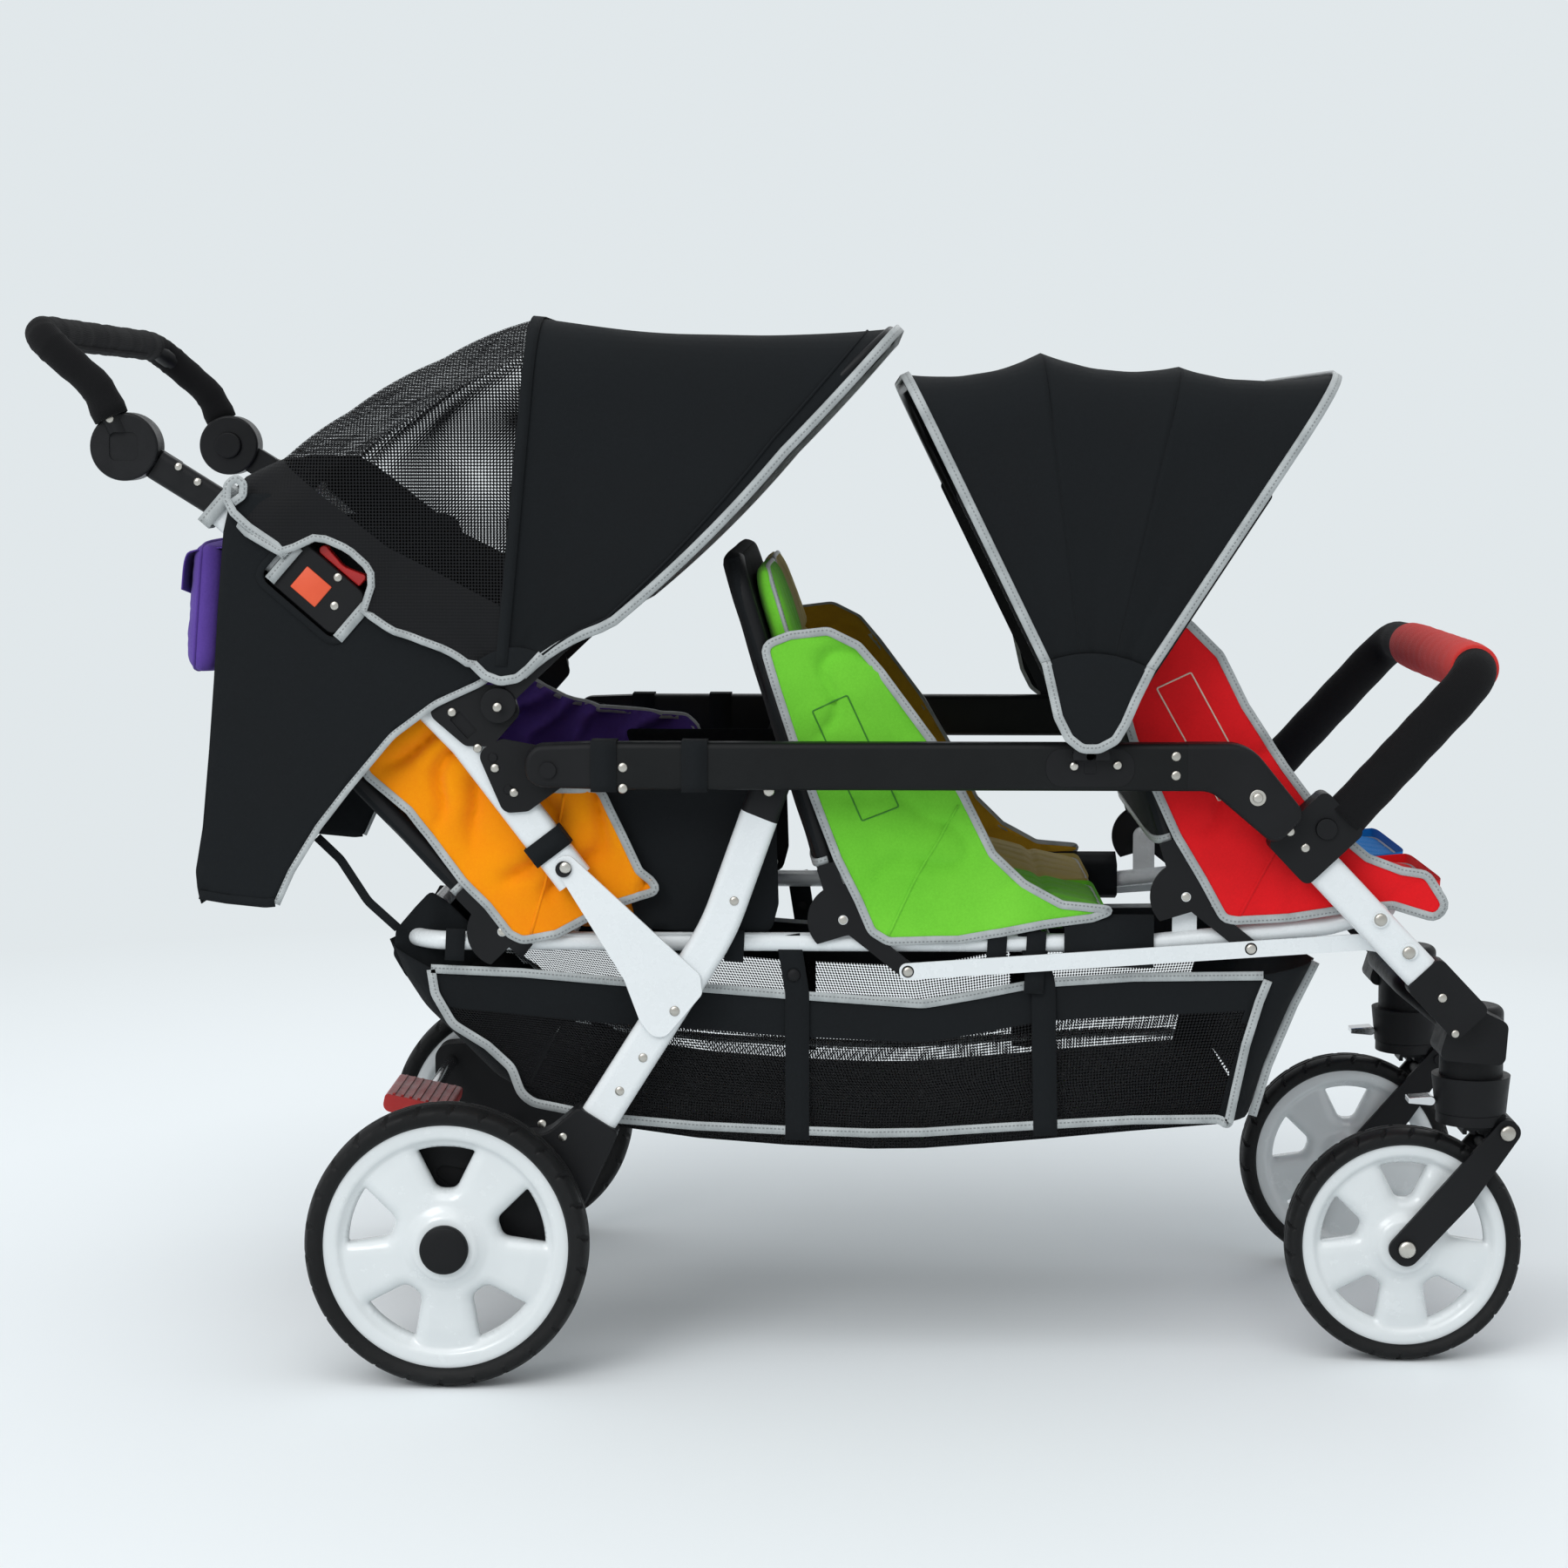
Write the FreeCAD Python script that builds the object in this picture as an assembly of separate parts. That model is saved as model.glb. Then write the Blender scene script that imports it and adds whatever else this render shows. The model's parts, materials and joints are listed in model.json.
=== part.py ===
import FreeCAD, Part
import math
import os

# Six seat daycare stroller, three rows of two. Millimetres, +X forward, +Y left, +Z up.
# Places are first set from the ground point under the rear axle, and the whole part is
# moved along X at the end, so that its origin is on the floor under its middle.
# Every place is given for the left side or the centre plane, and sides are mirrored in Y.

Vec = FreeCAD.Vector
DOWN_UP = Vec(0, 0, 1)
ACROSS = Vec(0, 1, 0)
AHEAD = Vec(1, 0, 0)
TURN = 360.0
SAME = 0.0001
STRAIGHT = math.radians(89.5)

# Wheels
wheelbase = 1024.0
rear_wheel_radius = 150.0
front_wheel_radius = 127.0
rear_wheel_y = 320.0
front_wheel_y = 200.0
rear_tyre_width = 48.0
front_tyre_width = 44.0
rear_hub_length = 53.0
front_hub_length = 48.0
axle_radius = 8.0
front_axle_radius = 6.0
running_gap = 0.05
body_gap = 0.4

# Planes of the side frame, as distances from the centre plane
tube_y = 273.0
tube_thick = 24.0
plate_thick = 4.2
seat_tube_y = 242.0
seat_tube_radius = 10.0
rail_inner_y = 290.5
rail_wide = 28.5

# Rails
rail_z = 656.0
rail_tall = 50.0
rail_wall = 3.0
rail_rear_x = 172.0
rail_front_x = 775.0

# Pivots of the linkage: X and Z
rail_pivot = (109.0, 652.0)
push_pivot = (122.0, 544.0)
leg_link_pivot = (239.0, 393.0)
rear_leg_pivot = (340.0, 632.0)
front_leg_pivot = (848.0, 625.0)
seat_front_pivot = (982.0, 493.0)
bar_front_pivot = (1013.0, 459.0)
pin_radius = 5.0
pin_head_radius = 8.5
pin_head_tall = 3.0

# Push tubes, handle and canopy hubs: X and Z
push_knee = (20.0, 678.0)
lock_place = (-125.0, 827.0)
collar_end = (-245.0, 931.0)
handle_hub = (-338.0, 989.0)
handle_bend = (-366.0, 1052.0)
handle_cross = (-432.0, 1110.0)
rear_canopy_hub = (55.0, 718.0)
front_canopy_hub = (674.0, 669.0)
tube_deep = 40.0
tube_wall = 2.0
grip_radius = 17.5

# Seat rows: the hinge of each backrest, X and Z, from rear to front
row_hinges = ((53.0, 472.0), (417.0, 486.0), (781.0, 512.0))
row_names = ("rear", "middle", "front")
back_angles = (134.0, 107.0, 107.0)
back_long = 397.0
seat_tube_z = 460.0

middle_x = (wheelbase + front_wheel_radius + handle_cross[0] - grip_radius) / 2
overrun = 5.0


def at(place, y=0.0):
    """A point from an (X, Z) place and its Y."""
    return Vec(place[0], y, place[1])


def save(name, shapes):
    """Write one node, moved so that the origin is under the middle of the part."""
    solids = []
    for shape in shapes if isinstance(shapes, (list, tuple)) else [shapes]:
        solids.extend(shape.Solids)
    moved = Part.makeCompound(solids) if len(solids) > 1 else solids[0]
    moved = moved.copy()
    moved.translate(Vec(-middle_x, 0, 0))
    moved.exportStep("parts/" + name + ".step")


def other_side(shape):
    """The mirror image on the other side of the centre plane."""
    return shape.mirror(Vec(0, 0, 0), ACROSS)


def both(shape):
    """A piece and its mirror image."""
    return [shape, other_side(shape)]


def fused(shapes):
    """One solid from overlapping shapes."""
    whole = shapes[0]
    for shape in shapes[1:]:
        whole = whole.fuse(shape)
    return whole.removeSplitter()


def unit(vector):
    """The same direction with length one."""
    copy = Vec(vector)
    copy.normalize()
    return copy


def corner_edges(points, radii, closed):
    """Lines through points, with a tangent arc of the given radius at each corner."""
    count = len(points)
    if not isinstance(radii, (list, tuple)):
        radii = [radii] * count
    turns = []
    for i, here in enumerate(points):
        ends = not closed and i in (0, count - 1)
        if ends or radii[i] == 0:
            turns.append((here, None, here))
            continue
        back = unit(points[i - 1] - here)
        ahead = unit(points[(i + 1) % count] - here)
        half = back.getAngle(ahead) / 2
        if half > STRAIGHT:
            continue
        reach = radii[i] / math.tan(half)
        middle = here + unit(back + ahead) * (radii[i] / math.sin(half) - radii[i])
        turns.append((here + back * reach, middle, here + ahead * reach))
    edges = []
    for i, (start, middle, end) in enumerate(turns):
        if middle is not None:
            edges.append(Part.Arc(start, middle, end).toShape())
        if i + 1 < len(turns) or closed:
            following = turns[(i + 1) % len(turns)][0]
            if (following - end).Length > SAME:
                edges.append(Part.LineSegment(end, following).toShape())
    return edges


def plate(places, radii, near_y, far_y):
    """A flat piece from an outline of (X, Z) places, between two distances from the centre."""
    points = [at(place, near_y) for place in places]
    face = Part.Face(Part.Wire(corner_edges(points, radii, True)))
    return face.extrude(Vec(0, far_y - near_y, 0))


def peg(place, radius, near_y, far_y):
    """A round piece along Y at an (X, Z) place."""
    return Part.makeCylinder(radius, far_y - near_y, at(place, near_y), ACROSS)


def swept(points, bend, profile):
    """One profile wire carried along a path with rounded bends."""
    path = Part.Wire(corner_edges(points, bend, False))
    return path.makePipeShell([profile], True, False)


def round_tube(points, bend, radius, wall=0.0):
    """A bent round tube, hollow when it has a wall."""
    along = unit(points[1] - points[0])

    def pipe(size):
        ring = Part.Wire(Part.Circle(points[0], along, size).toShape())
        return swept(points, bend, ring)

    if wall == 0:
        return pipe(radius)
    return pipe(radius).cut(pipe(radius - wall))


def flat_section(start, along, deep, thick, corner):
    """A rounded oblong across a path that lies in a plane of constant Y."""
    side = along.cross(ACROSS)
    points = []
    for across, upward in ((-1, -1), (1, -1), (1, 1), (-1, 1)):
        points.append(start + side * (across * deep / 2) + ACROSS * (upward * thick / 2))
    return Part.Wire(corner_edges(points, corner, True))


def flat_tube(points, bend, deep, thick, corner, wall):
    """A bent tube of oblong section with rounded corners."""
    along = unit(points[1] - points[0])
    outer = swept(points, bend, flat_section(points[0], along, deep, thick, corner))
    if wall == 0:
        return outer
    inner = flat_section(points[0], along, deep - 2 * wall, thick - 2 * wall, corner - wall)
    return outer.cut(swept(points, bend, inner))


def along_line(start, end, distance, rise=0.0):
    """A place on the way from start to end, and its rise square to that way."""
    step = Vec(end[0] - start[0], 0, end[1] - start[1])
    step = unit(step)
    return (
        start[0] + step.x * distance - step.z * rise,
        start[1] + step.z * distance + step.x * rise,
    )


def between(start, end, share):
    """The place that lies at a share of the way from start to end."""
    return (start[0] + (end[0] - start[0]) * share, start[1] + (end[1] - start[1]) * share)


def bar_outline(start, end, low, high, below, above):
    """Four corners of a bar along a line, from distances along and across it."""
    return [
        along_line(start, end, low, below),
        along_line(start, end, high, below),
        along_line(start, end, high, above),
        along_line(start, end, low, above),
    ]


def rivets(places, radius, face_y, tall):
    """Low domed rivet heads on a face at one distance from the centre plane."""
    heads = []
    for place in places:
        head = peg(place, radius, face_y, face_y + tall)
        rim = [edge for edge in head.Edges if abs(edge.CenterOfMass.y - face_y - tall) < SAME]
        heads.append(head.makeChamfer(tall / 2, rim))
    return heads


# Rails: hollow extrusions
rail_outer_y = rail_inner_y + rail_wide
rail_low = rail_z - rail_tall / 2
rail_high = rail_z + rail_tall / 2
rail_corner = 7.0


def side_rail():
    """One black rail, a closed extrusion with rounded edges."""

    def block(inset):
        corners = (
            (rail_inner_y + inset, rail_low + inset),
            (rail_outer_y - inset, rail_low + inset),
            (rail_outer_y - inset, rail_high - inset),
            (rail_inner_y + inset, rail_high - inset),
        )
        points = [Vec(rail_rear_x, y, z) for y, z in corners]
        face = Part.Face(Part.Wire(corner_edges(points, rail_corner - inset, True)))
        return face.extrude(Vec(rail_front_x - rail_rear_x, 0, 0))

    rail = block(0).cut(block(rail_wall))
    return rail.cut(peg(rear_leg_pivot, pin_radius, rail_inner_y - overrun, rail_inner_y + rail_wall + overrun))


# Rail ends: the rear cap with the push tube's pivot boss, the front elbow over the leg
elbow_round_share = 0.55
elbow_drop = 76.0
elbow_reach = 118.0
elbow_end_wide = 46.0


def rounded_outside(body):
    """The moulding with its outer edges rounded like the rail's."""
    rims = []
    for edge in body.Edges:
        box = edge.BoundBox
        outer = abs(box.YMin - rail_outer_y) < SAME and abs(box.YMax - rail_outer_y) < SAME
        square = box.XLength < SAME and abs(box.ZLength - rail_tall) < SAME
        if outer and not square:
            rims.append(edge)
    return body.makeFillet(rail_corner * 0.9, rims)


def rear_cap():
    """Moulded rear end of a rail, tapering to the pivot boss."""
    nose = rail_pivot[0] - rail_tall / 2
    outline = [
        (rail_rear_x, rail_low), (rail_rear_x, rail_high),
        (nose, rail_high - rail_wall), (nose, rail_low + rail_wall),
    ]
    body = plate(outline, (0, 0, rail_tall * 0.4, rail_tall * 0.4), rail_inner_y, rail_outer_y)
    return rounded_outside(body).cut(peg(rail_pivot, pin_radius, rail_inner_y, rail_outer_y))


def front_elbow():
    """Moulded front end of a rail, curving down over the front leg's pivot."""
    outline = [
        (rail_front_x, rail_low),
        (rail_front_x, rail_high),
        (rail_front_x + elbow_reach * elbow_round_share, rail_high),
        along_line(front_leg_pivot, seat_front_pivot, rail_tall, elbow_end_wide / 2),
        along_line(front_leg_pivot, seat_front_pivot, rail_tall, -elbow_end_wide / 2),
        (rail_front_x + rail_tall * 0.5, rail_low),
    ]
    radii = (0, 0, rail_tall * 0.9, rail_corner * 2, rail_corner * 2, rail_tall * 0.6)
    body = plate(outline, radii, rail_inner_y, rail_outer_y)
    return rounded_outside(body).cut(peg(front_leg_pivot, pin_radius, rail_inner_y, rail_outer_y))


# Canopy clip: an oval plate on the rail's outer face with a square recess
clip_long = 92.0
clip_tall = 40.0
clip_recess = 13.0
clip_deep = 1.0


def canopy_clip():
    """Oval plate that carries the front canopy's hub."""
    hub_x, hub_z = front_canopy_hub
    low, high = rail_z - clip_tall / 2, rail_z + clip_tall / 2
    outline = [
        (hub_x - clip_long / 2, low),
        (hub_x + clip_long / 2, low),
        (hub_x + clip_long / 2, high),
        (hub_x - clip_long / 2, high),
    ]
    body = plate(outline, clip_tall * 0.45, rail_outer_y, rail_outer_y + clip_deep)
    half = clip_recess / 2
    recess = [
        (hub_x - half, rail_z - half), (hub_x + half, rail_z - half),
        (hub_x + half, rail_z + half), (hub_x - half, rail_z + half),
    ]
    return body.cut(plate(recess, pin_radius / 2, rail_outer_y + clip_deep / 2, rail_outer_y + overrun))


# Push tubes: white oblong tubes from the lower pivot up to the collar
tube_corner = 9.0
tube_inner_y = tube_y - tube_thick / 2
tube_outer_y = tube_y + tube_thick / 2
plate_inner_y = tube_outer_y + body_gap
plate_outer_y = plate_inner_y + plate_thick
lower_tail = 17.0
insert_deep = 32.0
insert_lap = 28.0


def push_tube():
    """One push tube, bent at the knee, with the bores of its lower pivot."""
    foot = along_line(push_pivot, push_knee, -lower_tail)
    points = [at(place, tube_y) for place in (foot, push_knee, lock_place, collar_end)]
    tube = flat_tube(points, tube_deep, tube_deep, tube_thick, tube_corner, tube_wall)
    return tube.cut(peg(push_pivot, pin_radius, tube_inner_y - overrun, tube_outer_y + overrun))


# Handle hub: a base disc on the push tube's insert and a cap disc on the handle
hub_radius = 36.0
hub_base_inner_y = 256.0
hub_split_y = 273.6
hub_cap_outer_y = 292.0
hub_recess_radius = 16.2
hub_recess_deep = 6.0
hub_edge = 3.0
hub_pin_radius = 7.0


def hub_insert():
    """Black oblong tube from the collar to the hub, with the hub's base disc."""
    low = along_line(collar_end, lock_place, insert_lap)
    stop = along_line(handle_hub, collar_end, hub_radius + body_gap)
    knee = along_line(handle_hub, collar_end, hub_radius * 1.5)
    points = [at(place, tube_y) for place in (low, collar_end, knee, stop)]
    tube = flat_tube(points, tube_deep / 2, insert_deep, tube_thick - 2 * tube_wall, tube_corner - tube_wall, 0)
    disc = peg(handle_hub, hub_radius, hub_base_inner_y, hub_split_y)
    rim = [edge for edge in disc.Edges if abs(edge.CenterOfMass.y - hub_base_inner_y) < SAME]
    disc = disc.makeFillet(hub_edge, rim)
    neck_outline = bar_outline(
        handle_hub, collar_end, hub_radius / 2, hub_radius * 1.6, -insert_deep / 2, insert_deep / 2
    )
    neck = plate(neck_outline, tube_wall, tube_inner_y + tube_wall, hub_split_y)
    whole = fused([disc, neck, tube])
    recess = peg(handle_hub, hub_recess_radius, hub_base_inner_y - overrun, hub_base_inner_y + hub_recess_deep)
    bore = peg(handle_hub, hub_pin_radius + running_gap, hub_base_inner_y, hub_split_y + overrun)
    return whole.cut(recess).cut(bore)


# Fold lock: a housing round each push tube with a red release lever on top
lock_long = 96.0
lock_below = 25.0
lock_above = 31.0
lock_side = 5.0
lever_long = 58.0
lever_tall = 10.0
lever_wide = 16.0


def lock_housing():
    """Black moulding round the push tube, open along the tube."""
    outline = bar_outline(
        lock_place, collar_end, -lock_long * 0.3, lock_long * 0.7, -lock_above, lock_below
    )
    body = plate(outline, lock_side * 2, tube_inner_y - lock_side, tube_outer_y + lock_side)
    foot = along_line(push_pivot, push_knee, -lower_tail)
    points = [at(place, tube_y) for place in (foot, push_knee, lock_place, collar_end)]
    solid_tube = flat_tube(points, tube_deep, tube_deep, tube_thick, tube_corner, 0)
    return body.cut(solid_tube)


def lock_lever():
    """Red lever that lies on the housing, with its thumb end turned up."""
    low, high = -lever_long * 0.25, lever_long * 0.75 - lever_tall / 2
    base = -lock_above - 2 * body_gap
    outline = [
        along_line(lock_place, collar_end, low, base),
        along_line(lock_place, collar_end, high, base),
        along_line(lock_place, collar_end, high, base - lever_tall),
        along_line(lock_place, collar_end, lever_long * 0.2, base - lever_tall * 0.55),
        along_line(lock_place, collar_end, low, base - lever_tall * 1.5),
    ]
    radii = (lever_tall * 0.2, 0, 0, lever_tall * 2, lever_tall * 0.4)
    near, far = tube_y - lever_wide / 2, tube_y + lever_wide / 2
    return fused([plate(outline, radii, near, far), peg(lever_hinge, lever_tall / 2, near, far)])


lever_hinge = along_line(
    lock_place, collar_end, lever_long * 0.75 - lever_tall / 2, -lock_above - 2 * body_gap - lever_tall / 2
)


# Brackets on the push tubes: one to the rail's pivot, one to the rear canopy's hub
bracket_round = 12.0
bracket_recess = 14.0


def rail_bracket():
    """Black plate on the push tube that carries the rail's rear pivot."""
    outline = [
        (rail_pivot[0] - 78, rail_pivot[1] + 16),
        (rail_pivot[0] - 52, rail_pivot[1] + 30),
        (rail_pivot[0] + 17, rail_pivot[1] + 17),
        (rail_pivot[0] + 17, rail_pivot[1] - 17),
        (rail_pivot[0] - 24, rail_pivot[1] - 47),
        (rail_pivot[0] - 50, rail_pivot[1] - 49),
    ]
    body = plate(outline, bracket_round, tube_outer_y, plate_outer_y)
    return body.cut(peg(rail_pivot, pin_radius, tube_outer_y - overrun, plate_outer_y + overrun))


def canopy_bracket():
    """Black moulding on the push tube that carries the rear canopy's hub."""
    hub_x, hub_z = rear_canopy_hub
    outline = [
        (hub_x - 78, hub_z - 8),
        (hub_x - 48, hub_z + 22),
        (hub_x + 14, hub_z + 20),
        (hub_x + 22, hub_z - 10),
        (hub_x - 8, hub_z - 44),
        (hub_x - 36, hub_z - 44),
    ]
    body = plate(outline, bracket_round, tube_outer_y, plate_outer_y)
    recess = plate(
        bar_outline((hub_x - 50, hub_z - 8), (hub_x - 23, hub_z - 38), 4.0, 32.0, -7.0, 7.0),
        tube_wall, plate_outer_y - plate_thick / 2, plate_outer_y + overrun,
    )
    return body.cut(recess)


def push_rivets():
    """Rivet heads on the brackets, the lock housings and the collars."""
    heads = rivets(((48, 662), (64, 628)), 5.0, plate_outer_y, 1.6)
    return heads


# Handle: a bent tube with its cap discs, and the foam grip round it
handle_tube_y = 285.5
handle_tube_radius = 11.0
handle_corner = 62.0
grip_start_share = 0.78


def handle_path(first):
    """The handle's centre line from one side to the other, starting at a given place."""
    left = [first, handle_bend, handle_cross]
    points = [at(place, handle_tube_y) for place in left]
    return points + [Vec(point.x, -point.y, point.z) for point in reversed(points)]


def handle_bar():
    """U-shaped tube with a cap disc at each hub."""
    start = along_line(handle_hub, handle_bend, hub_radius / 3)
    radii = [0, handle_corner, handle_corner, handle_corner, handle_corner, 0]
    bar = round_tube(handle_path(start), radii, handle_tube_radius)
    discs = []
    for side in (1, -1):
        disc = peg(handle_hub, hub_radius, hub_split_y + body_gap, hub_cap_outer_y)
        rim = [edge for edge in disc.Edges if abs(edge.CenterOfMass.y - hub_cap_outer_y) < SAME]
        disc = disc.makeFillet(hub_edge, rim)
        pin = peg(handle_hub, hub_pin_radius, hub_base_inner_y + hub_recess_deep + overrun, hub_cap_outer_y - hub_edge)
        recess_half = hub_radius * 0.42
        corners = [
            (handle_hub[0] - recess_half, handle_hub[1] - recess_half),
            (handle_hub[0] + recess_half, handle_hub[1] - recess_half),
            (handle_hub[0] + recess_half, handle_hub[1] + recess_half),
            (handle_hub[0] - recess_half, handle_hub[1] + recess_half),
        ]
        recess = plate(corners, recess_half * 0.5, hub_cap_outer_y - hub_edge / 2, hub_cap_outer_y + overrun)
        piece = disc.fuse(pin)
        discs.append(piece if side == 1 else other_side(piece))
        bar = bar.cut(recess if side == 1 else other_side(recess))
        discs[-1] = discs[-1].cut(recess if side == 1 else other_side(recess))
    return fused([bar] + discs)


def handle_grip():
    """Foam sleeve over the handle's bends and cross part."""
    start = between(handle_hub, handle_bend, grip_start_share)
    radii = [0, handle_corner, handle_corner, handle_corner, handle_corner, 0]
    outer = round_tube(handle_path(start), radii, grip_radius)
    inner = round_tube(handle_path(start), radii, handle_tube_radius)
    return outer.cut(inner)


# Hub buttons: round push buttons on the inner faces of the hubs
button_radius = 15.8
button_long = 7.0
button_stand = 5.5


def hub_button():
    """One button in the recess of its hub."""
    start = hub_base_inner_y - button_stand
    button = peg(handle_hub, button_radius, start, start + button_long)
    rim = [edge for edge in button.Edges if abs(edge.CenterOfMass.y - start) < SAME]
    return button.makeFillet(tube_wall, rim)


# Gusset: the white link plate between the push tube and the rear leg
gusset_shares = (
    (-0.09, -0.03), (-0.04, 0.075), (0.93, 0.235), (1.02, 0.18),
    (1.10, -0.19), (0.93, -0.19), (0.69, -0.115), (0.41, -0.085),
)
gusset_round_shares = (0.05, 0.05, 0.05, 0.05, 0.08, 0.08, 0.2, 0.2)


def gusset_plate():
    """White link plate, its outline in shares of the distance between its pivots."""
    reach = math.dist(push_pivot, leg_link_pivot)
    outline = [
        along_line(push_pivot, leg_link_pivot, reach * along, reach * across)
        for along, across in gusset_shares
    ]
    radii = [reach * share for share in gusset_round_shares]
    body = plate(outline, radii, plate_inner_y, plate_outer_y)
    bore = peg(push_pivot, pin_radius + running_gap, plate_inner_y - overrun, plate_outer_y + overrun)
    return body.cut(bore)


# Rear legs: oblong tubes that curve down and back to the axle housings
leg_deep = 41.0
leg_knee = (285.0, 478.0)
leg_foot = (133.0, 237.0)
leg_bend = 260.0
leg_head = 18.0


def rear_leg():
    """One white rear leg with its pivot bore at the rail."""
    head = along_line(rear_leg_pivot, leg_knee, -leg_head)
    points = [at(place, tube_y) for place in (head, leg_knee, leg_foot)]
    leg = flat_tube(points, leg_bend, leg_deep, tube_thick, tube_corner, tube_wall)
    plug = peg(rear_leg_pivot, leg_deep / 2 - tube_wall * 2, tube_inner_y + tube_wall, tube_outer_y - tube_wall)
    bore = peg(rear_leg_pivot, pin_radius + running_gap, tube_inner_y - overrun, tube_outer_y + overrun)
    return leg.fuse(plug.common(solid_rear_leg())).cut(bore)


def solid_rear_leg():
    """The leg's outer form without its hollow."""
    head = along_line(rear_leg_pivot, leg_knee, -leg_head)
    points = [at(place, tube_y) for place in (head, leg_knee, leg_foot)]
    return flat_tube(points, leg_bend, leg_deep, tube_thick, tube_corner, 0)


# Axle housings: moulded feet of the rear legs, which hold the axle
housing_inner_y = 257.0
housing_outer_y = 292.0
housing_boss_radius = 33.0
housing_lap = 46.0


def axle_housing():
    """Black moulding from the leg's end back to the brake bar and down to the axle."""
    axle = (0.0, rear_wheel_radius)
    boss = housing_boss_radius
    bar = brake_bar_place
    outline = [
        along_line(leg_foot, leg_knee, housing_lap, -leg_deep * 0.62),
        along_line(leg_foot, leg_knee, housing_lap, leg_deep * 0.62),
        along_line(leg_foot, leg_knee, leg_deep * 0.1, leg_deep * 0.95),
        (bar[0] + boss * 1.2, bar[1] + boss * 0.75),
        (bar[0] - boss * 0.62, bar[1] + boss * 0.62),
        (bar[0] - boss * 0.62, bar[1] - boss * 0.62),
        (axle[0] - boss, axle[1]),
        (axle[0], axle[1] - boss),
        (axle[0] + boss * 2.4, axle[1] - boss * 0.75),
        along_line(leg_foot, leg_knee, -leg_deep * 0.9, -leg_deep * 0.9),
    ]
    radii = (6.0, 6.0, 30.0, 60.0, 18.0, 18.0, 18.0, 18.0, 22.0, 24.0)
    body = plate(outline, radii, housing_inner_y, housing_outer_y)
    rim = [edge for edge in body.Edges if abs(edge.CenterOfMass.y - housing_outer_y) < SAME]
    body = body.makeChamfer(tube_wall, rim)
    pocket_outline = [
        (bar[0] + boss * 0.9, bar[1] + boss * 0.15),
        (axle[0] + boss * 1.6, axle[1] + boss * 2.0),
        (axle[0] + boss * 1.9, axle[1] + boss * 0.7),
        (axle[0] + boss * 0.2, axle[1] + boss * 1.5),
    ]
    pocket = plate(pocket_outline, 8.0, housing_outer_y - 2 * tube_wall, housing_outer_y + overrun)
    bores = peg(axle, axle_radius, housing_inner_y - overrun, housing_outer_y + overrun)
    seat = peg(bar, brake_bar_radius, housing_inner_y - overrun, housing_inner_y + housing_boss_radius / 2)
    return body.cut(pocket).cut(solid_rear_leg()).cut(bores).cut(seat)


def rear_axle():
    """Steel axle across both housings, its ends in the wheels' bores."""
    reach = rear_wheel_y + rear_hub_length / 2 - tube_wall
    return Part.makeCylinder(axle_radius, 2 * reach, Vec(0, -reach, rear_wheel_radius), ACROSS)


# Brake: a red rocker pedal on a chrome bar that runs between the axle housings
brake_bar_place = (-70.0, 228.0)
brake_bar_radius = 7.5
pedal_rear = (-107.0, 244.0)
pedal_front = (-32.0, 228.0)
pedal_wide = 112.0
pedal_thick = 20.0
pedal_ribs = 7
pedal_rib = 3.2
pedal_rib_tall = 1.6
bar_end_y = housing_inner_y + housing_boss_radius / 2


def brake_bar():
    """Chrome bar between the axle housings."""
    return Part.makeCylinder(
        brake_bar_radius, 2 * bar_end_y, at(brake_bar_place, -bar_end_y), ACROSS
    )


def brake_pedal():
    """Rocker pedal with ribs across its top, round the bar."""
    reach = math.dist(pedal_rear, pedal_front)
    block = plate(
        bar_outline(pedal_rear, pedal_front, 0, reach, -pedal_thick / 2, pedal_thick / 2),
        (pedal_thick * 0.45, pedal_thick * 0.45, pedal_thick * 0.2, pedal_thick * 0.2),
        -pedal_wide / 2, pedal_wide / 2,
    )
    pieces = [block, peg(brake_bar_place, brake_bar_radius * 1.6, -pedal_wide / 2, pedal_wide / 2)]
    for i in range(pedal_ribs):
        start = reach * (i + 1) / (pedal_ribs + 1) - pedal_rib / 2
        top = pedal_thick / 2
        rib = bar_outline(pedal_rear, pedal_front, start, start + pedal_rib, top - pedal_rib, top + pedal_rib_tall)
        pieces.append(plate(rib, 0, -pedal_wide * 0.46, pedal_wide * 0.46))
    return fused(pieces).cut(peg(brake_bar_place, brake_bar_radius + running_gap, -pedal_wide, pedal_wide))


# Wheels: block-profile tyres on five-spoke rims
spokes = 5
rim_share = 0.867
window_in_share = 0.37
window_out_share = 0.69
hub_share = 0.27
cap_share = 0.17
web_share = 0.3
window_turn_share = 0.36


def ring_profile(points):
    """A ring turned round the Y axis from (radius, Y) points."""
    wire = Part.makePolygon([Vec(r, y, 0) for r, y in points] + [Vec(points[0][0], points[0][1], 0)])
    return Part.Face(wire).revolve(Vec(0, 0, 0), ACROSS, TURN)


def tyre_ring(radius, width):
    """Tyre with rounded shoulders and two grooves round its tread."""
    seat = radius * rim_share
    half = width / 2
    points = [
        (seat, -half * 0.72), (radius * 0.93, -half), (radius * 0.98, -half * 0.86),
        (radius, -half * 0.45), (radius, -half * 0.3), (radius * 0.985, -half * 0.26),
        (radius * 0.985, -half * 0.14), (radius, -half * 0.1), (radius, half * 0.1),
        (radius * 0.985, half * 0.14), (radius * 0.985, half * 0.26), (radius, half * 0.3),
        (radius, half * 0.45), (radius * 0.98, half * 0.86), (radius * 0.93, half), (seat, half * 0.72),
    ]
    return ring_profile(points)


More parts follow.
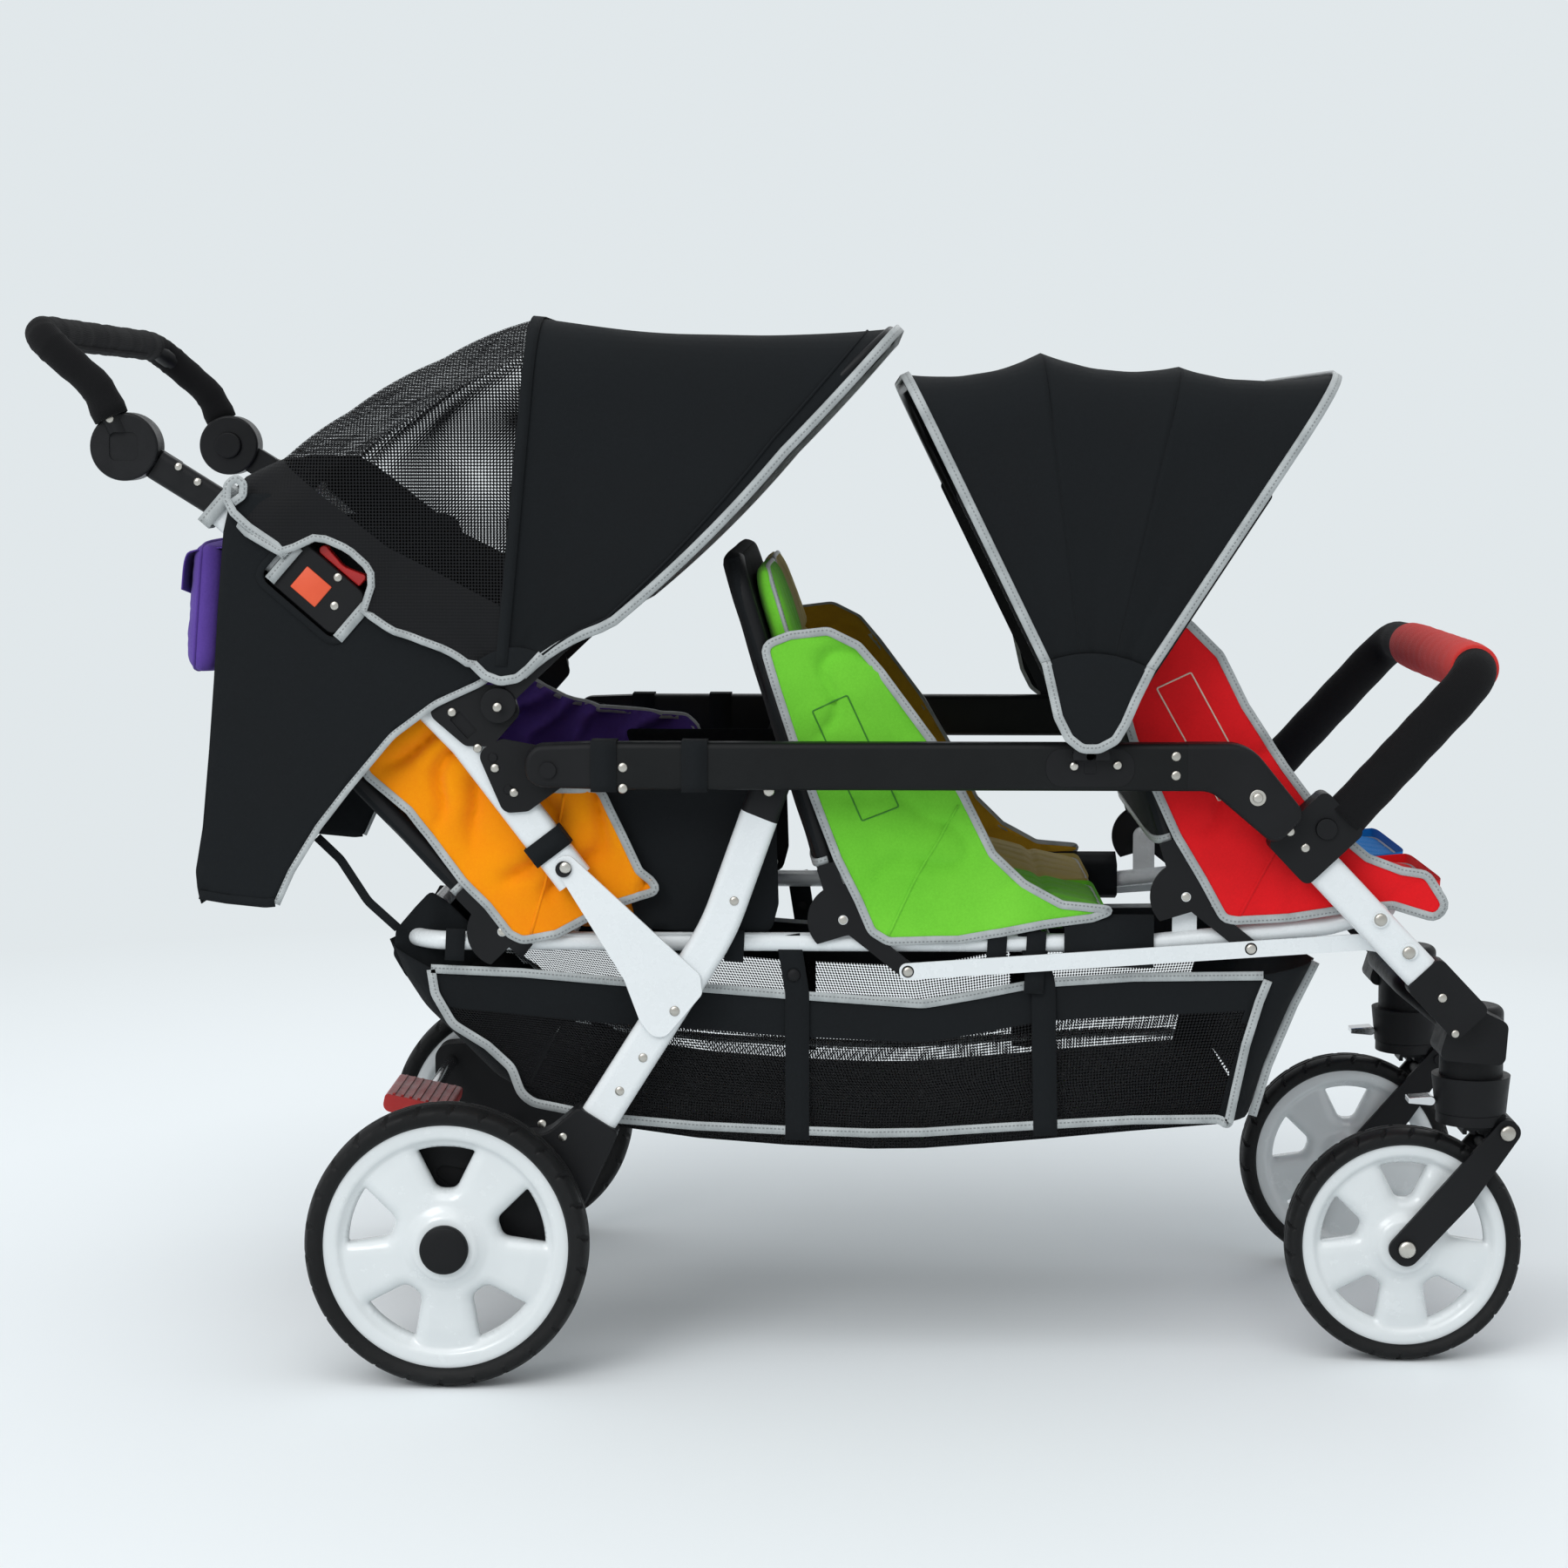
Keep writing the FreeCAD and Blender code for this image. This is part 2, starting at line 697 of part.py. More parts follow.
def rim_ring(radius, width, hub_long, bore):
    """Rim with a dished web, five windows between broad spokes, and its hub."""
    seat = radius * rim_share
    half = width / 2
    web = half * web_share
    hub = radius * hub_share
    points = [
        (bore, -hub_long / 2), (hub * 0.8, -hub_long / 2), (hub, -web * 1.6),
        (radius * window_out_share, -web), (seat * 0.93, -half * 0.7), (seat, -half * 0.7),
        (seat, half * 0.7), (seat * 0.93, half * 0.7), (radius * window_out_share, web),
        (hub, web * 1.6), (hub * 0.8, hub_long / 2), (bore, hub_long / 2),
    ]
    rim = ring_profile(points)
    inner = radius * window_in_share
    outer = radius * window_out_share
    spread = math.radians(TURN) / spokes * window_turn_share
    for i in range(spokes):
        middle = math.radians(TURN) * (i + 0.25) / spokes + math.radians(TURN) / 4
        middle = math.radians(TURN) * (i + 0.5) / spokes - math.radians(TURN) / 4
        corners = []
        for reach, side in ((inner, -0.75), (outer, -1), (outer, 1), (inner, 0.75)):
            turn = middle + side * spread
            corners.append(Vec(reach * math.cos(turn), -half, reach * math.sin(turn)))
        wire = Part.Wire(corner_edges(corners, radius * 0.06, True))
        rim = rim.cut(Part.Face(wire).extrude(Vec(0, width, 0)))
    return rim


def hub_cap(radius, face_y):
    """Domed cap over the hub, on the outer side."""
    cap_radius = radius * cap_share
    cap = Part.makeCylinder(cap_radius, cap_radius * 0.3, Vec(0, face_y, 0), ACROSS)
    rim = [edge for edge in cap.Edges if abs(edge.CenterOfMass.y - face_y - cap_radius * 0.3) < SAME]
    return cap.makeFillet(cap_radius * 0.2, rim)


def wheel_pieces(place, y, radius, width, hub_long, bore, capped):
    """Tyre and rim at a place on the left side."""
    tyre = tyre_ring(radius, width)
    rims = [rim_ring(radius, width, hub_long, bore + running_gap)]
    if capped:
        rims.append(hub_cap(radius, hub_long / 2))
    for shape in [tyre] + rims:
        shape.translate(at(place, y))
    return tyre, rims


# Front legs: straight oblong tubes from the rail elbows down to the caster mounts
front_leg_deep = 39.0
front_leg_end = (1047.0, 414.0)
front_leg_head = 16.0


def solid_front_leg():
    """The front leg's outer form."""
    head = along_line(front_leg_pivot, front_leg_end, -front_leg_head)
    points = [at(place, tube_y) for place in (head, front_leg_end)]
    return flat_tube(points, 0, front_leg_deep, tube_thick, tube_corner, 0)


def front_leg():
    """One white front leg with the bore of its pivot."""
    head = along_line(front_leg_pivot, front_leg_end, -front_leg_head)
    points = [at(place, tube_y) for place in (head, front_leg_end)]
    leg = flat_tube(points, 0, front_leg_deep, tube_thick, tube_corner, tube_wall)
    plug = peg(front_leg_pivot, front_leg_deep / 2 - tube_wall * 2, tube_inner_y + tube_wall, tube_outer_y - tube_wall)
    leg = leg.fuse(plug.common(solid_front_leg()))
    leg = leg.cut(peg(front_leg_pivot, pin_radius + running_gap, tube_inner_y - overrun, tube_outer_y + overrun))
    for place in (seat_front_pivot, bar_front_pivot):
        leg = leg.cut(peg(place, pin_radius, tube_inner_y - overrun, tube_outer_y + overrun))
    return leg


# Bumper sockets: black blocks round the front legs that hold the bumper bar
socket_place = (908.0, 575.0)
socket_long = 62.0
socket_side = 5.0
socket_up = 58.0
socket_down = 26.0
bumper_top = (1086.0, 754.0)
bumper_foot = (938.0, 592.0)
bumper_radius = 10.0
bumper_foam = 22.0
bumper_corner = 48.0
bumper_y = 273.0
bumper_button_radius = 11.0


def bumper_socket():
    """Black block on the front leg, bored for the bumper bar's end."""
    up = along_line(front_leg_pivot, front_leg_end, math.dist(front_leg_pivot, socket_place))
    low, high = -socket_long / 2, socket_long / 2
    centre = math.dist(front_leg_pivot, up)
    outline = bar_outline(front_leg_pivot, front_leg_end, centre + low, centre + high, -socket_down, socket_up)
    body = plate(outline, tube_corner, tube_inner_y - socket_side, tube_outer_y + socket_side)
    bore = Part.makeCylinder(
        bumper_radius + body_gap, socket_up * 2, at(bumper_foot, bumper_y), unit(at(bumper_top) - at(bumper_foot))
    )
    button = peg(button_place(), bumper_button_radius + body_gap, tube_outer_y + socket_side / 5, tube_outer_y + 2 * socket_side)
    return body.cut(solid_front_leg()).cut(bore).cut(button)


def button_place():
    """The button's centre on the socket's outer face."""
    centre = math.dist(front_leg_pivot, socket_place)
    return along_line(front_leg_pivot, front_leg_end, centre, front_leg_deep / 2 + bumper_button_radius)


def bumper_button():
    """Round release button on the socket's outer face."""
    start = tube_outer_y + socket_side / 5 + 2 * tube_wall * 0.75
    return peg(button_place(), bumper_button_radius, start, start + socket_side)


def bumper_path():
    """The bumper bar's centre line from one side to the other."""
    left = [at(place, bumper_y) for place in (bumper_foot, bumper_top)]
    return left + [Vec(point.x, -point.y, point.z) for point in reversed(left)]


def bumper_bar():
    """Bar with black foam sleeves over its upper parts."""
    radii = [0, bumper_corner, bumper_corner, 0]
    path = bumper_path()
    bar = round_tube(path, radii, bumper_radius)
    start = between(bumper_foot, bumper_top, 0.34)
    end = between(bumper_foot, bumper_top, 0.98)
    sleeve_left = [at(start, bumper_y), at(bumper_top, bumper_y), at(bumper_top, bumper_y - bumper_y * 0.42)]
    sleeve = round_tube(sleeve_left, [0, bumper_corner, 0], bumper_foam)
    return fused([bar, sleeve, other_side(sleeve)])


def bumper_wrap():
    """Red cloth sleeve round the middle of the cross part."""
    half = bumper_y * 0.56
    radius = bumper_foam + 2 * tube_wall
    ring = Part.makeCylinder(radius, 2 * half, at(bumper_top, -half), ACROSS)
    return ring.cut(bumper_bar())


# Caster mounts: moulded feet of the front legs with the swivel housings
caster_x = 1096.0
mount_low_z = 272.0
cup_top_z = 312.0
housing_top_z = 388.0
caster_housing_radius = 34.0
cup_radius = 42.0
stem_radius = 12.0
stem_top_z = 338.0
arm_deep = 60.0
arm_z = 360.0
cross_bar_radius = 13.0


def caster_mounts():
    """Both swivel housings, their arms out to the legs and the bar between them."""
    pieces = []
    for side in (1, -1):
        centre = Vec(caster_x, front_wheel_y, cup_top_z)
        housing = Part.makeCylinder(caster_housing_radius, housing_top_z - cup_top_z, centre)
        top = [edge for edge in housing.Edges if abs(edge.CenterOfMass.z - housing_top_z) < SAME]
        housing = housing.makeFillet(tube_corner, top)
        cup = Part.makeCone(
            cup_radius - 2 * tube_wall, cup_radius, cup_top_z - mount_low_z, Vec(caster_x, front_wheel_y, mount_low_z)
        )
        arm_outline = [
            (front_leg_end[0] + 2.0, arm_z - arm_deep * 0.35),
            (caster_x + caster_housing_radius * 0.7, arm_z - arm_deep * 0.45),
            (caster_x + caster_housing_radius * 0.8, arm_z + arm_deep * 0.3),
            (front_leg_end[0] + 22.0, arm_z + arm_deep * 0.75),
        ]
        arm = plate(arm_outline, tube_corner, front_wheel_y, tube_inner_y + tube_wall)
        foot_outline = bar_outline(
            front_leg_pivot, front_leg_end, math.dist(front_leg_pivot, front_leg_end) - 30.0,
            math.dist(front_leg_pivot, front_leg_end) + 48.0, -front_leg_deep * 0.6, front_leg_deep * 0.66,
        )
        foot = plate(foot_outline, tube_corner, tube_inner_y - tube_wall, tube_outer_y + tube_wall)
        piece = fused([housing, cup, arm, foot]).cut(solid_front_leg())
        bore = Part.makeCylinder(
            stem_radius + running_gap, stem_top_z - mount_low_z + overrun, Vec(caster_x, front_wheel_y, mount_low_z)
        )
        piece = piece.cut(bore)
        pieces.append(piece if side == 1 else other_side(piece))
    reach = front_wheel_y - stem_radius - 2 * tube_wall
    bow = [
        Vec(caster_x - caster_housing_radius * 0.4, reach, arm_z),
        Vec(caster_x - arm_deep * 0.9, reach * 0.5, arm_z + arm_deep * 0.5),
        Vec(caster_x - arm_deep * 0.9, -reach * 0.5, arm_z + arm_deep * 0.5),
        Vec(caster_x - caster_housing_radius * 0.4, -reach, arm_z),
    ]
    return fused(pieces + [round_tube(bow, arm_deep, cross_bar_radius)])


# Swivel locks: chrome levers on a hinge under the rear of the cups
lock_hinge = (1051.4, 284.0)
swivel_lever_half = 5.0
swivel_lever_long = 24.0
swivel_lever_wide = 22.0


def swivel_lock():
    """Small chrome lever behind the cup."""
    tall = swivel_lever_half
    outline = [
        (lock_hinge[0], lock_hinge[1] - tall),
        (lock_hinge[0], lock_hinge[1] + tall),
        (lock_hinge[0] - swivel_lever_long, lock_hinge[1] + tall * 0.6),
        (lock_hinge[0] - swivel_lever_long, lock_hinge[1] - tall * 0.6),
    ]
    near, far = front_wheel_y - swivel_lever_wide / 2, front_wheel_y + swivel_lever_wide / 2
    lever = plate(outline, (0, 0, tall * 0.25, tall * 0.25), near, far)
    return fused([lever, peg(lock_hinge, tall, near, far)])


# Casters: the swivel crown with its stem, and the sprung fork below it
crown_top_z = 271.6
crown_low_z = 260.0
crown_radius = 37.0
fork_pivot = (1130.0, 254.0)
fork_arm_thick = 6.0
fork_clear = 3.0
fork_pin_radius = 6.0
crown_nose_radius = 14.0
fork_swing_radius = 16.0
rib_count = 3
rib_step = 9.0
rib_low_z = 249.0


def caster_crown():
    """Crown with the swivel stem, a nose for the fork's pin and ribs below."""
    inner = front_tyre_width / 2
    centre = Vec(caster_x, front_wheel_y, crown_low_z)
    disc = Part.makeCylinder(crown_radius, crown_top_z - crown_low_z, centre)
    stem = Part.makeCylinder(stem_radius, stem_top_z - overrun - crown_low_z, centre)
    nose = peg(fork_pivot, crown_nose_radius, front_wheel_y - inner, front_wheel_y + inner)
    neck = Part.makeBox(
        fork_pivot[0] - caster_x + crown_radius * 0.3, 2 * inner, crown_top_z - fork_pivot[1],
        Vec(caster_x - crown_radius * 0.3, front_wheel_y - inner, fork_pivot[1]),
    )
    ribs = []
    for i in range(rib_count):
        rib_x = caster_x - crown_radius * 0.3 + i * rib_step
        ribs.append(
            Part.makeBox(
                rib_step / 2, inner * 1.6, fork_pivot[1] - rib_low_z, Vec(rib_x, front_wheel_y - inner * 0.8, rib_low_z)
            )
        )
    whole = fused([disc, nose, neck] + ribs)
    swing = fork_swing_radius + 2 * body_gap
    for side in (-1, 1):
        start = front_wheel_y + side * (inner + crown_radius / 2) - crown_radius / 2
        whole = whole.cut(peg(fork_pivot, swing, start, start + crown_radius))
    whole = whole.fuse(stem).removeSplitter()
    return whole.cut(peg(fork_pivot, fork_pin_radius + running_gap, 0, 2 * front_wheel_y))


def caster_fork():
    """Two curved arms from the pivot pin to the axle, joined by a bridge over the tyre."""
    axle = (wheelbase, front_wheel_radius)
    inner = front_tyre_width / 2 + fork_clear
    reach = math.dist(fork_pivot, axle)
    outline = [
        along_line(fork_pivot, axle, -fork_swing_radius * 0.85, -fork_swing_radius * 0.8),
        along_line(fork_pivot, axle, -fork_swing_radius * 0.85, fork_swing_radius * 0.8),
        along_line(fork_pivot, axle, reach * 0.5, 22.0),
        along_line(fork_pivot, axle, reach + 18.0, 17.0),
        along_line(fork_pivot, axle, reach + 18.0, -17.0),
        along_line(fork_pivot, axle, reach * 0.5, -14.0),
    ]
    arm = plate(outline, (12.0, 12.0, 60.0, 14.0, 14.0, 60.0), inner, inner + fork_arm_thick)
    pieces = [arm, other_side(arm)]
    bridge_place = along_line(fork_pivot, axle, 28.0, -2.0)
    pieces.append(peg(bridge_place, 7.0, -inner - 1.0, inner + 1.0))
    pieces.append(peg(fork_pivot, fork_pin_radius, -inner - fork_arm_thick - 3.0, inner + fork_arm_thick + 3.0))
    pieces.append(peg(axle, front_axle_radius, -inner - fork_arm_thick - 4.0, inner + fork_arm_thick + 4.0))
    whole = fused(pieces)
    whole.translate(Vec(0, front_wheel_y, 0))
    return whole


# Seat frame: a bent white tube round all three rows, its crossbars and hinge lugs
seat_rear_x = -52.0
seat_rise_x = 745.0
seat_rise = (932.0, 479.0)
seat_corner = 55.0
cross_radius = 8.0
lug_thick = 4.0
lug_wide = 26.0
seat_wall = 2.0


def seat_line_z(x):
    """Height of the seat tube's centre line at X."""
    if x <= seat_rise_x:
        return seat_tube_z
    low, high = (seat_rise_x, seat_tube_z), seat_rise
    if x > seat_rise[0]:
        low, high = seat_rise, seat_front_pivot
    return low[1] + (high[1] - low[1]) * (x - low[0]) / (high[0] - low[0])


def seat_frame():
    """The bent tube with its crossbars, hinge lugs and front eyes."""
    left = [seat_front_pivot, seat_rise, (seat_rise_x, seat_tube_z), (seat_rear_x, seat_tube_z)]
    points = [at(place, seat_tube_y) for place in left]
    points += [Vec(point.x, -point.y, point.z) for point in reversed(points)]
    radii = [0, seat_corner, seat_corner, seat_corner, seat_corner, seat_corner, seat_corner, 0]
    tube = round_tube(points, radii, seat_tube_radius, seat_wall)
    hollow = round_tube(points, radii, seat_tube_radius - seat_wall)
    pieces = [tube]
    for row in range(len(row_hinges)):
        for share in cross_shares:
            x = row_hinges[row][0] + cushion_start + cushion_deep * share
            z = seat_line_z(x)
            bar = Part.makeCylinder(cross_radius, 2 * seat_tube_y, Vec(x, -seat_tube_y, z), ACROSS)
            pieces.append(bar.cut(hollow))
    for hinge in row_hinges:
        base = seat_line_z(hinge[0])
        outline = [
            (hinge[0] - lug_wide / 2, base),
            (hinge[0] + lug_wide / 2, base),
            (hinge[0] + lug_wide / 2, hinge[1] + lug_wide / 2),
            (hinge[0] - lug_wide / 2, hinge[1] + lug_wide / 2),
        ]
        lug = plate(outline, (0, 0, lug_wide * 0.45, lug_wide * 0.45), seat_tube_y - lug_thick / 2, seat_tube_y + lug_thick / 2)
        pieces.extend(both(lug.cut(hollow)))
        pin = peg(hinge, pin_radius, seat_tube_y - lug_thick, bracket_outer_y + tube_wall / 2)
        pieces.extend(both(pin.cut(hollow)))
    eye = peg(seat_front_pivot, seat_tube_radius * 1.4, seat_tube_y - seat_tube_radius, link_inner_y - body_gap)
    pieces.extend(both(eye))
    whole = fused(pieces)
    bore = peg(seat_front_pivot, pin_radius + running_gap, 0, tube_inner_y)
    for piece in both(bore):
        whole = whole.cut(piece)
    return whole


# Backrests: a bent white tube for each row, hinged on moulded half-moon brackets
back_tube_radius = 10.0
back_tube_y = 243.0
back_start = 34.0
back_corner = 45.0
bracket_inner_y = back_tube_y + back_tube_radius
bracket_outer_y = bracket_inner_y + plate_thick
bracket_radius = 38.0
crank_place = (28.0, -23.0)
crank_end = (69.0, -55.0)
crank_wide = 18.0
link_inner_y = bracket_outer_y + body_gap
link_thick = 2.6


def back_frame(row):
    """One row's back tube with its hinge brackets and crank arms."""
    hinge = row_hinges[row]
    turn = math.radians(back_angles[row])
    top = (hinge[0] + back_long * math.cos(turn), hinge[1] + back_long * math.sin(turn))
    start = along_line(hinge, top, back_start)
    left = [at(start, back_tube_y), at(top, back_tube_y)]
    points = left + [Vec(point.x, -point.y, point.z) for point in reversed(left)]
    tube = round_tube(points, [0, back_corner, back_corner, 0], back_tube_radius, seat_wall)
    bracket = peg(hinge, bracket_radius, bracket_inner_y, bracket_outer_y)
    flat = plate(
        bar_outline(hinge, top, -2 * bracket_radius, -bracket_radius * 0.45, -2 * bracket_radius, 2 * bracket_radius),
        0, bracket_inner_y - overrun, bracket_outer_y + overrun,
    )
    reach = plate(
        bar_outline(hinge, top, 0, back_start + bracket_radius * 0.75, -back_tube_radius * 1.1, back_tube_radius * 1.1),
        2 * tube_wall, bracket_inner_y, bracket_outer_y,
    )
    bracket = bracket.cut(flat).fuse(reach).removeSplitter()
    arm_end = (hinge[0] + crank_end[0], hinge[1] + crank_end[1])
    arm = plate(
        bar_outline(hinge, arm_end, 0, math.dist(hinge, arm_end) + crank_wide / 2, -crank_wide / 2, crank_wide / 2),
        crank_wide * 0.45, bracket_inner_y, bracket_outer_y,
    )
    pin = peg(arm_end, pin_radius, bracket_inner_y, link_inner_y + link_thick + tube_wall / 4)
    arm = arm.cut(bracket).fuse(pin).removeSplitter()
    bore = peg(hinge, pin_radius + running_gap, bracket_inner_y - overrun, bracket_outer_y + overrun)
    pieces = [tube]
    for piece in (bracket.cut(bore), arm.cut(bore)):
        pieces.extend(both(piece))
    return pieces


# Link bars: flat bars from the front legs to the crank arms of the backrests
bar_wide = 18.0
bar_crank = (972.0, 465.0)
bar_end_clear = 1.6


def link_bar():
    """One flat bar with its front end cranked up to the leg."""
    middle = (row_hinges[1][0] + crank_end[0], row_hinges[1][1] + crank_end[1])
    front = (row_hinges[2][0] + crank_end[0], row_hinges[2][1] + crank_end[1])
    half = bar_wide / 2
    upper = [along_line(middle, front, -half, half), along_line(middle, front, math.dist(middle, front), half)]
    upper += [along_line(bar_crank, bar_front_pivot, 0, half), along_line(bar_crank, bar_front_pivot, math.dist(bar_crank, bar_front_pivot) + half, half)]
    lower = [along_line(bar_crank, bar_front_pivot, math.dist(bar_crank, bar_front_pivot) + half, -half)]
    lower += [along_line(bar_crank, bar_front_pivot, 0, -half), along_line(middle, front, math.dist(middle, front), -half)]
    lower += [along_line(middle, front, -half, -half)]
    radii = (half * 0.9, bar_wide, bar_wide, half * 0.9, half * 0.9, bar_wide, bar_wide, half * 0.9)
    body = plate(upper + lower, radii, link_inner_y, link_inner_y + link_thick)
    for place in (middle, front):
        body = body.cut(peg(place, pin_radius + bar_end_clear, 0, tube_inner_y))
    return body.cut(peg(bar_front_pivot, pin_radius + running_gap, 0, tube_inner_y))


# Pivot bolts: in the rails, on the push tubes and on the front legs
def rail_bolts():
    """Bolts through the rails that carry both legs."""
    pieces = []
    for place in (rear_leg_pivot, front_leg_pivot):
        shank = peg(place, pin_radius, tube_inner_y - tube_wall, rail_outer_y)
        head = peg(place, pin_head_radius, rail_outer_y, rail_outer_y + pin_head_tall / 2)
        nut = peg(place, pin_head_radius, tube_inner_y - 2 * tube_wall, tube_inner_y - tube_wall / 2)
        if place == rear_leg_pivot:
            shank = peg(place, pin_radius, tube_inner_y - tube_wall, rail_inner_y + rail_wall)
            head = shank
        pieces.extend(both(fused([shank, head, nut])))
    return pieces


def push_bolts():
    """Bolts of the push tubes, at the rail pivot and at the gusset."""
    pieces = []
    for place, reach in ((rail_pivot, rail_outer_y), (push_pivot, plate_outer_y)):
        shank = peg(place, pin_radius, tube_outer_y, reach)
        head = peg(place, pin_head_radius, reach + body_gap / 2, reach + pin_head_tall)
        pieces.extend(both(fused([shank, head.fuse(peg(place, pin_radius, reach - body_gap, reach + body_gap))])))
    return pieces


# Canopies: flat side arms at the hub, round bows above, cloth gores between the bows
bow_radius = 5.0
bow_arm_thick = 3.0
bow_arm_wide = 16.0
bow_corner = 70.0
bow_plane_step = 3.6
rear_bow_y = 291.8
front_bow_y = 321.4 + bow_arm_thick / 2
rear_bow_angles = (84.5, 43.7)
rear_bow_reaches = (400.0, 569.0)
front_bow_angles = (116.0, 97.0, 77.0, 57.0)
front_bow_reaches = (431.0, 412.0, 405.0, 461.0)
bow_end_share = 0.72


def canopy_bow(hub, angle, reach, y):
    """One bow: flat arms from the hub, then a round tube up and over."""
    turn = math.radians(angle)
    out = Vec(math.cos(turn), 0, math.sin(turn))
    top = at(hub) + out * reach
    split = reach * bow_end_share - bow_corner * 0.5
    start = at(hub) + out * split
    points = [start + ACROSS * y, top + ACROSS * y, top - ACROSS * y, start - ACROSS * y]
    bow = round_tube(points, [0, bow_corner, bow_corner, 0], bow_radius)
    end = (hub[0] + out.x * (split + 2 * bow_arm_wide), hub[1] + out.z * (split + 2 * bow_arm_wide))
    arm_outline = bar_outline(hub, end, 0, math.dist(hub, end), -bow_arm_wide / 2, bow_arm_wide / 2)
    arm = plate(arm_outline, (0, bow_arm_wide * 0.4, bow_arm_wide * 0.4, 0), y - bow_arm_thick / 2, y + bow_arm_thick / 2)
    disc = peg(hub, canopy_disc_radius, y - bow_arm_thick / 2, y + bow_arm_thick / 2)
    arm = fused([arm, disc]).cut(peg(hub, pin_radius + running_gap, 0, 2 * y))
    return fused([bow, arm, other_side(arm)])


canopy_disc_radius = 19.0


def hub_studs(hub, start_y, end_y):
    """The stud that a canopy's arms turn on, with its outer cap disc."""
    stud = peg(hub, pin_radius, start_y, end_y)
    cap = peg(hub, canopy_disc_radius, end_y, end_y + bow_arm_thick)
    rim = [edge for edge in cap.Edges if abs(edge.CenterOfMass.y - end_y - bow_arm_thick) < SAME]
    return stud.fuse(cap.makeFillet(bow_arm_thick / 2, rim)).removeSplitter()


# Canopy cloth: thin fans, each section a strip that goes up one side, over and down
cloth_thick = 2.0
cloth_corner = 78.0


def fan_section(hub, angle, reach, low, half):
    """One closed strip of cloth in the plane through the hub's axis at an angle."""
    turn = math.radians(angle)
    out = Vec(math.cos(turn), 0, math.sin(turn))

    def spot(y, r):
        return at(hub) + out * r + ACROSS * y

    inner = half - cloth_thick
    points = [
        spot(half, low), spot(half, reach), spot(-half, reach), spot(-half, low),
        spot(-inner, low), spot(-inner, reach - cloth_thick), spot(inner, reach - cloth_thick), spot(inner, low),
    ]
    small = cloth_corner - cloth_thick
    radii = [0, cloth_corner, cloth_corner, 0, 0, small, small, 0]
    return Part.Wire(corner_edges(points, radii, True))


def fan_gore(hub, sections):
    """One gore of cloth through its sections, each an angle, reach, low edge and half width."""
    wires = [fan_section(hub, *section) for section in sections]
    return Part.makeLoft(wires, True, False)


sag_share = 0.972
rear_cloth_half = 303.5
rear_cloth_back_half = 297.0
rear_cloth_low = 46.0
rear_back_angles = (100.0, 118.0, 139.0)
rear_back_reach_shares = (0.885, 0.84, 0.905)
front_cloth_half = 341.0
front_cloth_low = 44.0
cloth_over = bow_radius + cloth_thick + 2.0


def sagged_reach(reach_a, reach_b, spread):
    """Reach at the middle angle of the chord between two bows, less the cloth's sag."""
    chord = 2 * reach_a * reach_b * math.cos(math.radians(spread) / 2) / (reach_a + reach_b)
    return chord * sag_share


def rear_canopy_cloth():
    """The rear canopy: the hood ahead of the middle bow and the back behind it."""
    middle, front = rear_bow_angles
    middle_reach = rear_bow_reaches[0] + cloth_over
    front_reach = rear_bow_reaches[1] + cloth_over + bow_radius / 2
    half_way = (middle + front) / 2
    hood = fan_gore(
        rear_canopy_hub,
        [
            (middle, middle_reach, rear_cloth_low, rear_cloth_half),
            (half_way, sagged_reach(middle_reach, front_reach, middle - front), rear_cloth_low, rear_cloth_half),
            (front, front_reach, rear_cloth_low, rear_cloth_half),
        ],
    )
    sections = [(middle, middle_reach, rear_cloth_low, rear_cloth_half)]
    for i, angle in enumerate(rear_back_angles):
        share = (i + 1) / len(rear_back_angles)
        half = rear_cloth_half + (rear_cloth_back_half - rear_cloth_half) * share
        sections.append((angle, middle_reach * rear_back_reach_shares[i], rear_cloth_low, half))
    return [hood, fan_gore(rear_canopy_hub, sections)]


def front_canopy_cloth():
    """The front canopy's three gores between its four bows."""
    gores = []
    for i in range(len(front_bow_angles) - 1):
        reach_a = front_bow_reaches[i] + cloth_over
        reach_b = front_bow_reaches[i + 1] + cloth_over
        if i == len(front_bow_angles) - 2:
            reach_b += bow_radius / 2
        angle_a, angle_b = front_bow_angles[i], front_bow_angles[i + 1]
        gores.append(
            fan_gore(
                front_canopy_hub,
                [
                    (angle_a, reach_a, front_cloth_low, front_cloth_half),
                    (
                        (angle_a + angle_b) / 2, sagged_reach(reach_a, reach_b, angle_a - angle_b),
                        front_cloth_low, front_cloth_half,
                    ),
                    (angle_b, reach_b, front_cloth_low, front_cloth_half),
                ],
            )
        )
    return gores


# Rear curtain: a cloth back with side wings that hang outside the push tubes
curtain_thick = 2.0
curtain_top = (-240.0, 890.0)
curtain_middle = (-256.0, 680.0)
curtain_foot = (-268.0, 512.0)
curtain_y = 292.4
wing_foot = (-182.0, 502.0)
wing_places = ((-146.0, 575.0), (-108.0, 622.0), (-62.0, 678.0), (30.0, 728.0))
wing_rise = 24.0
lock_opening_gap = 5.0


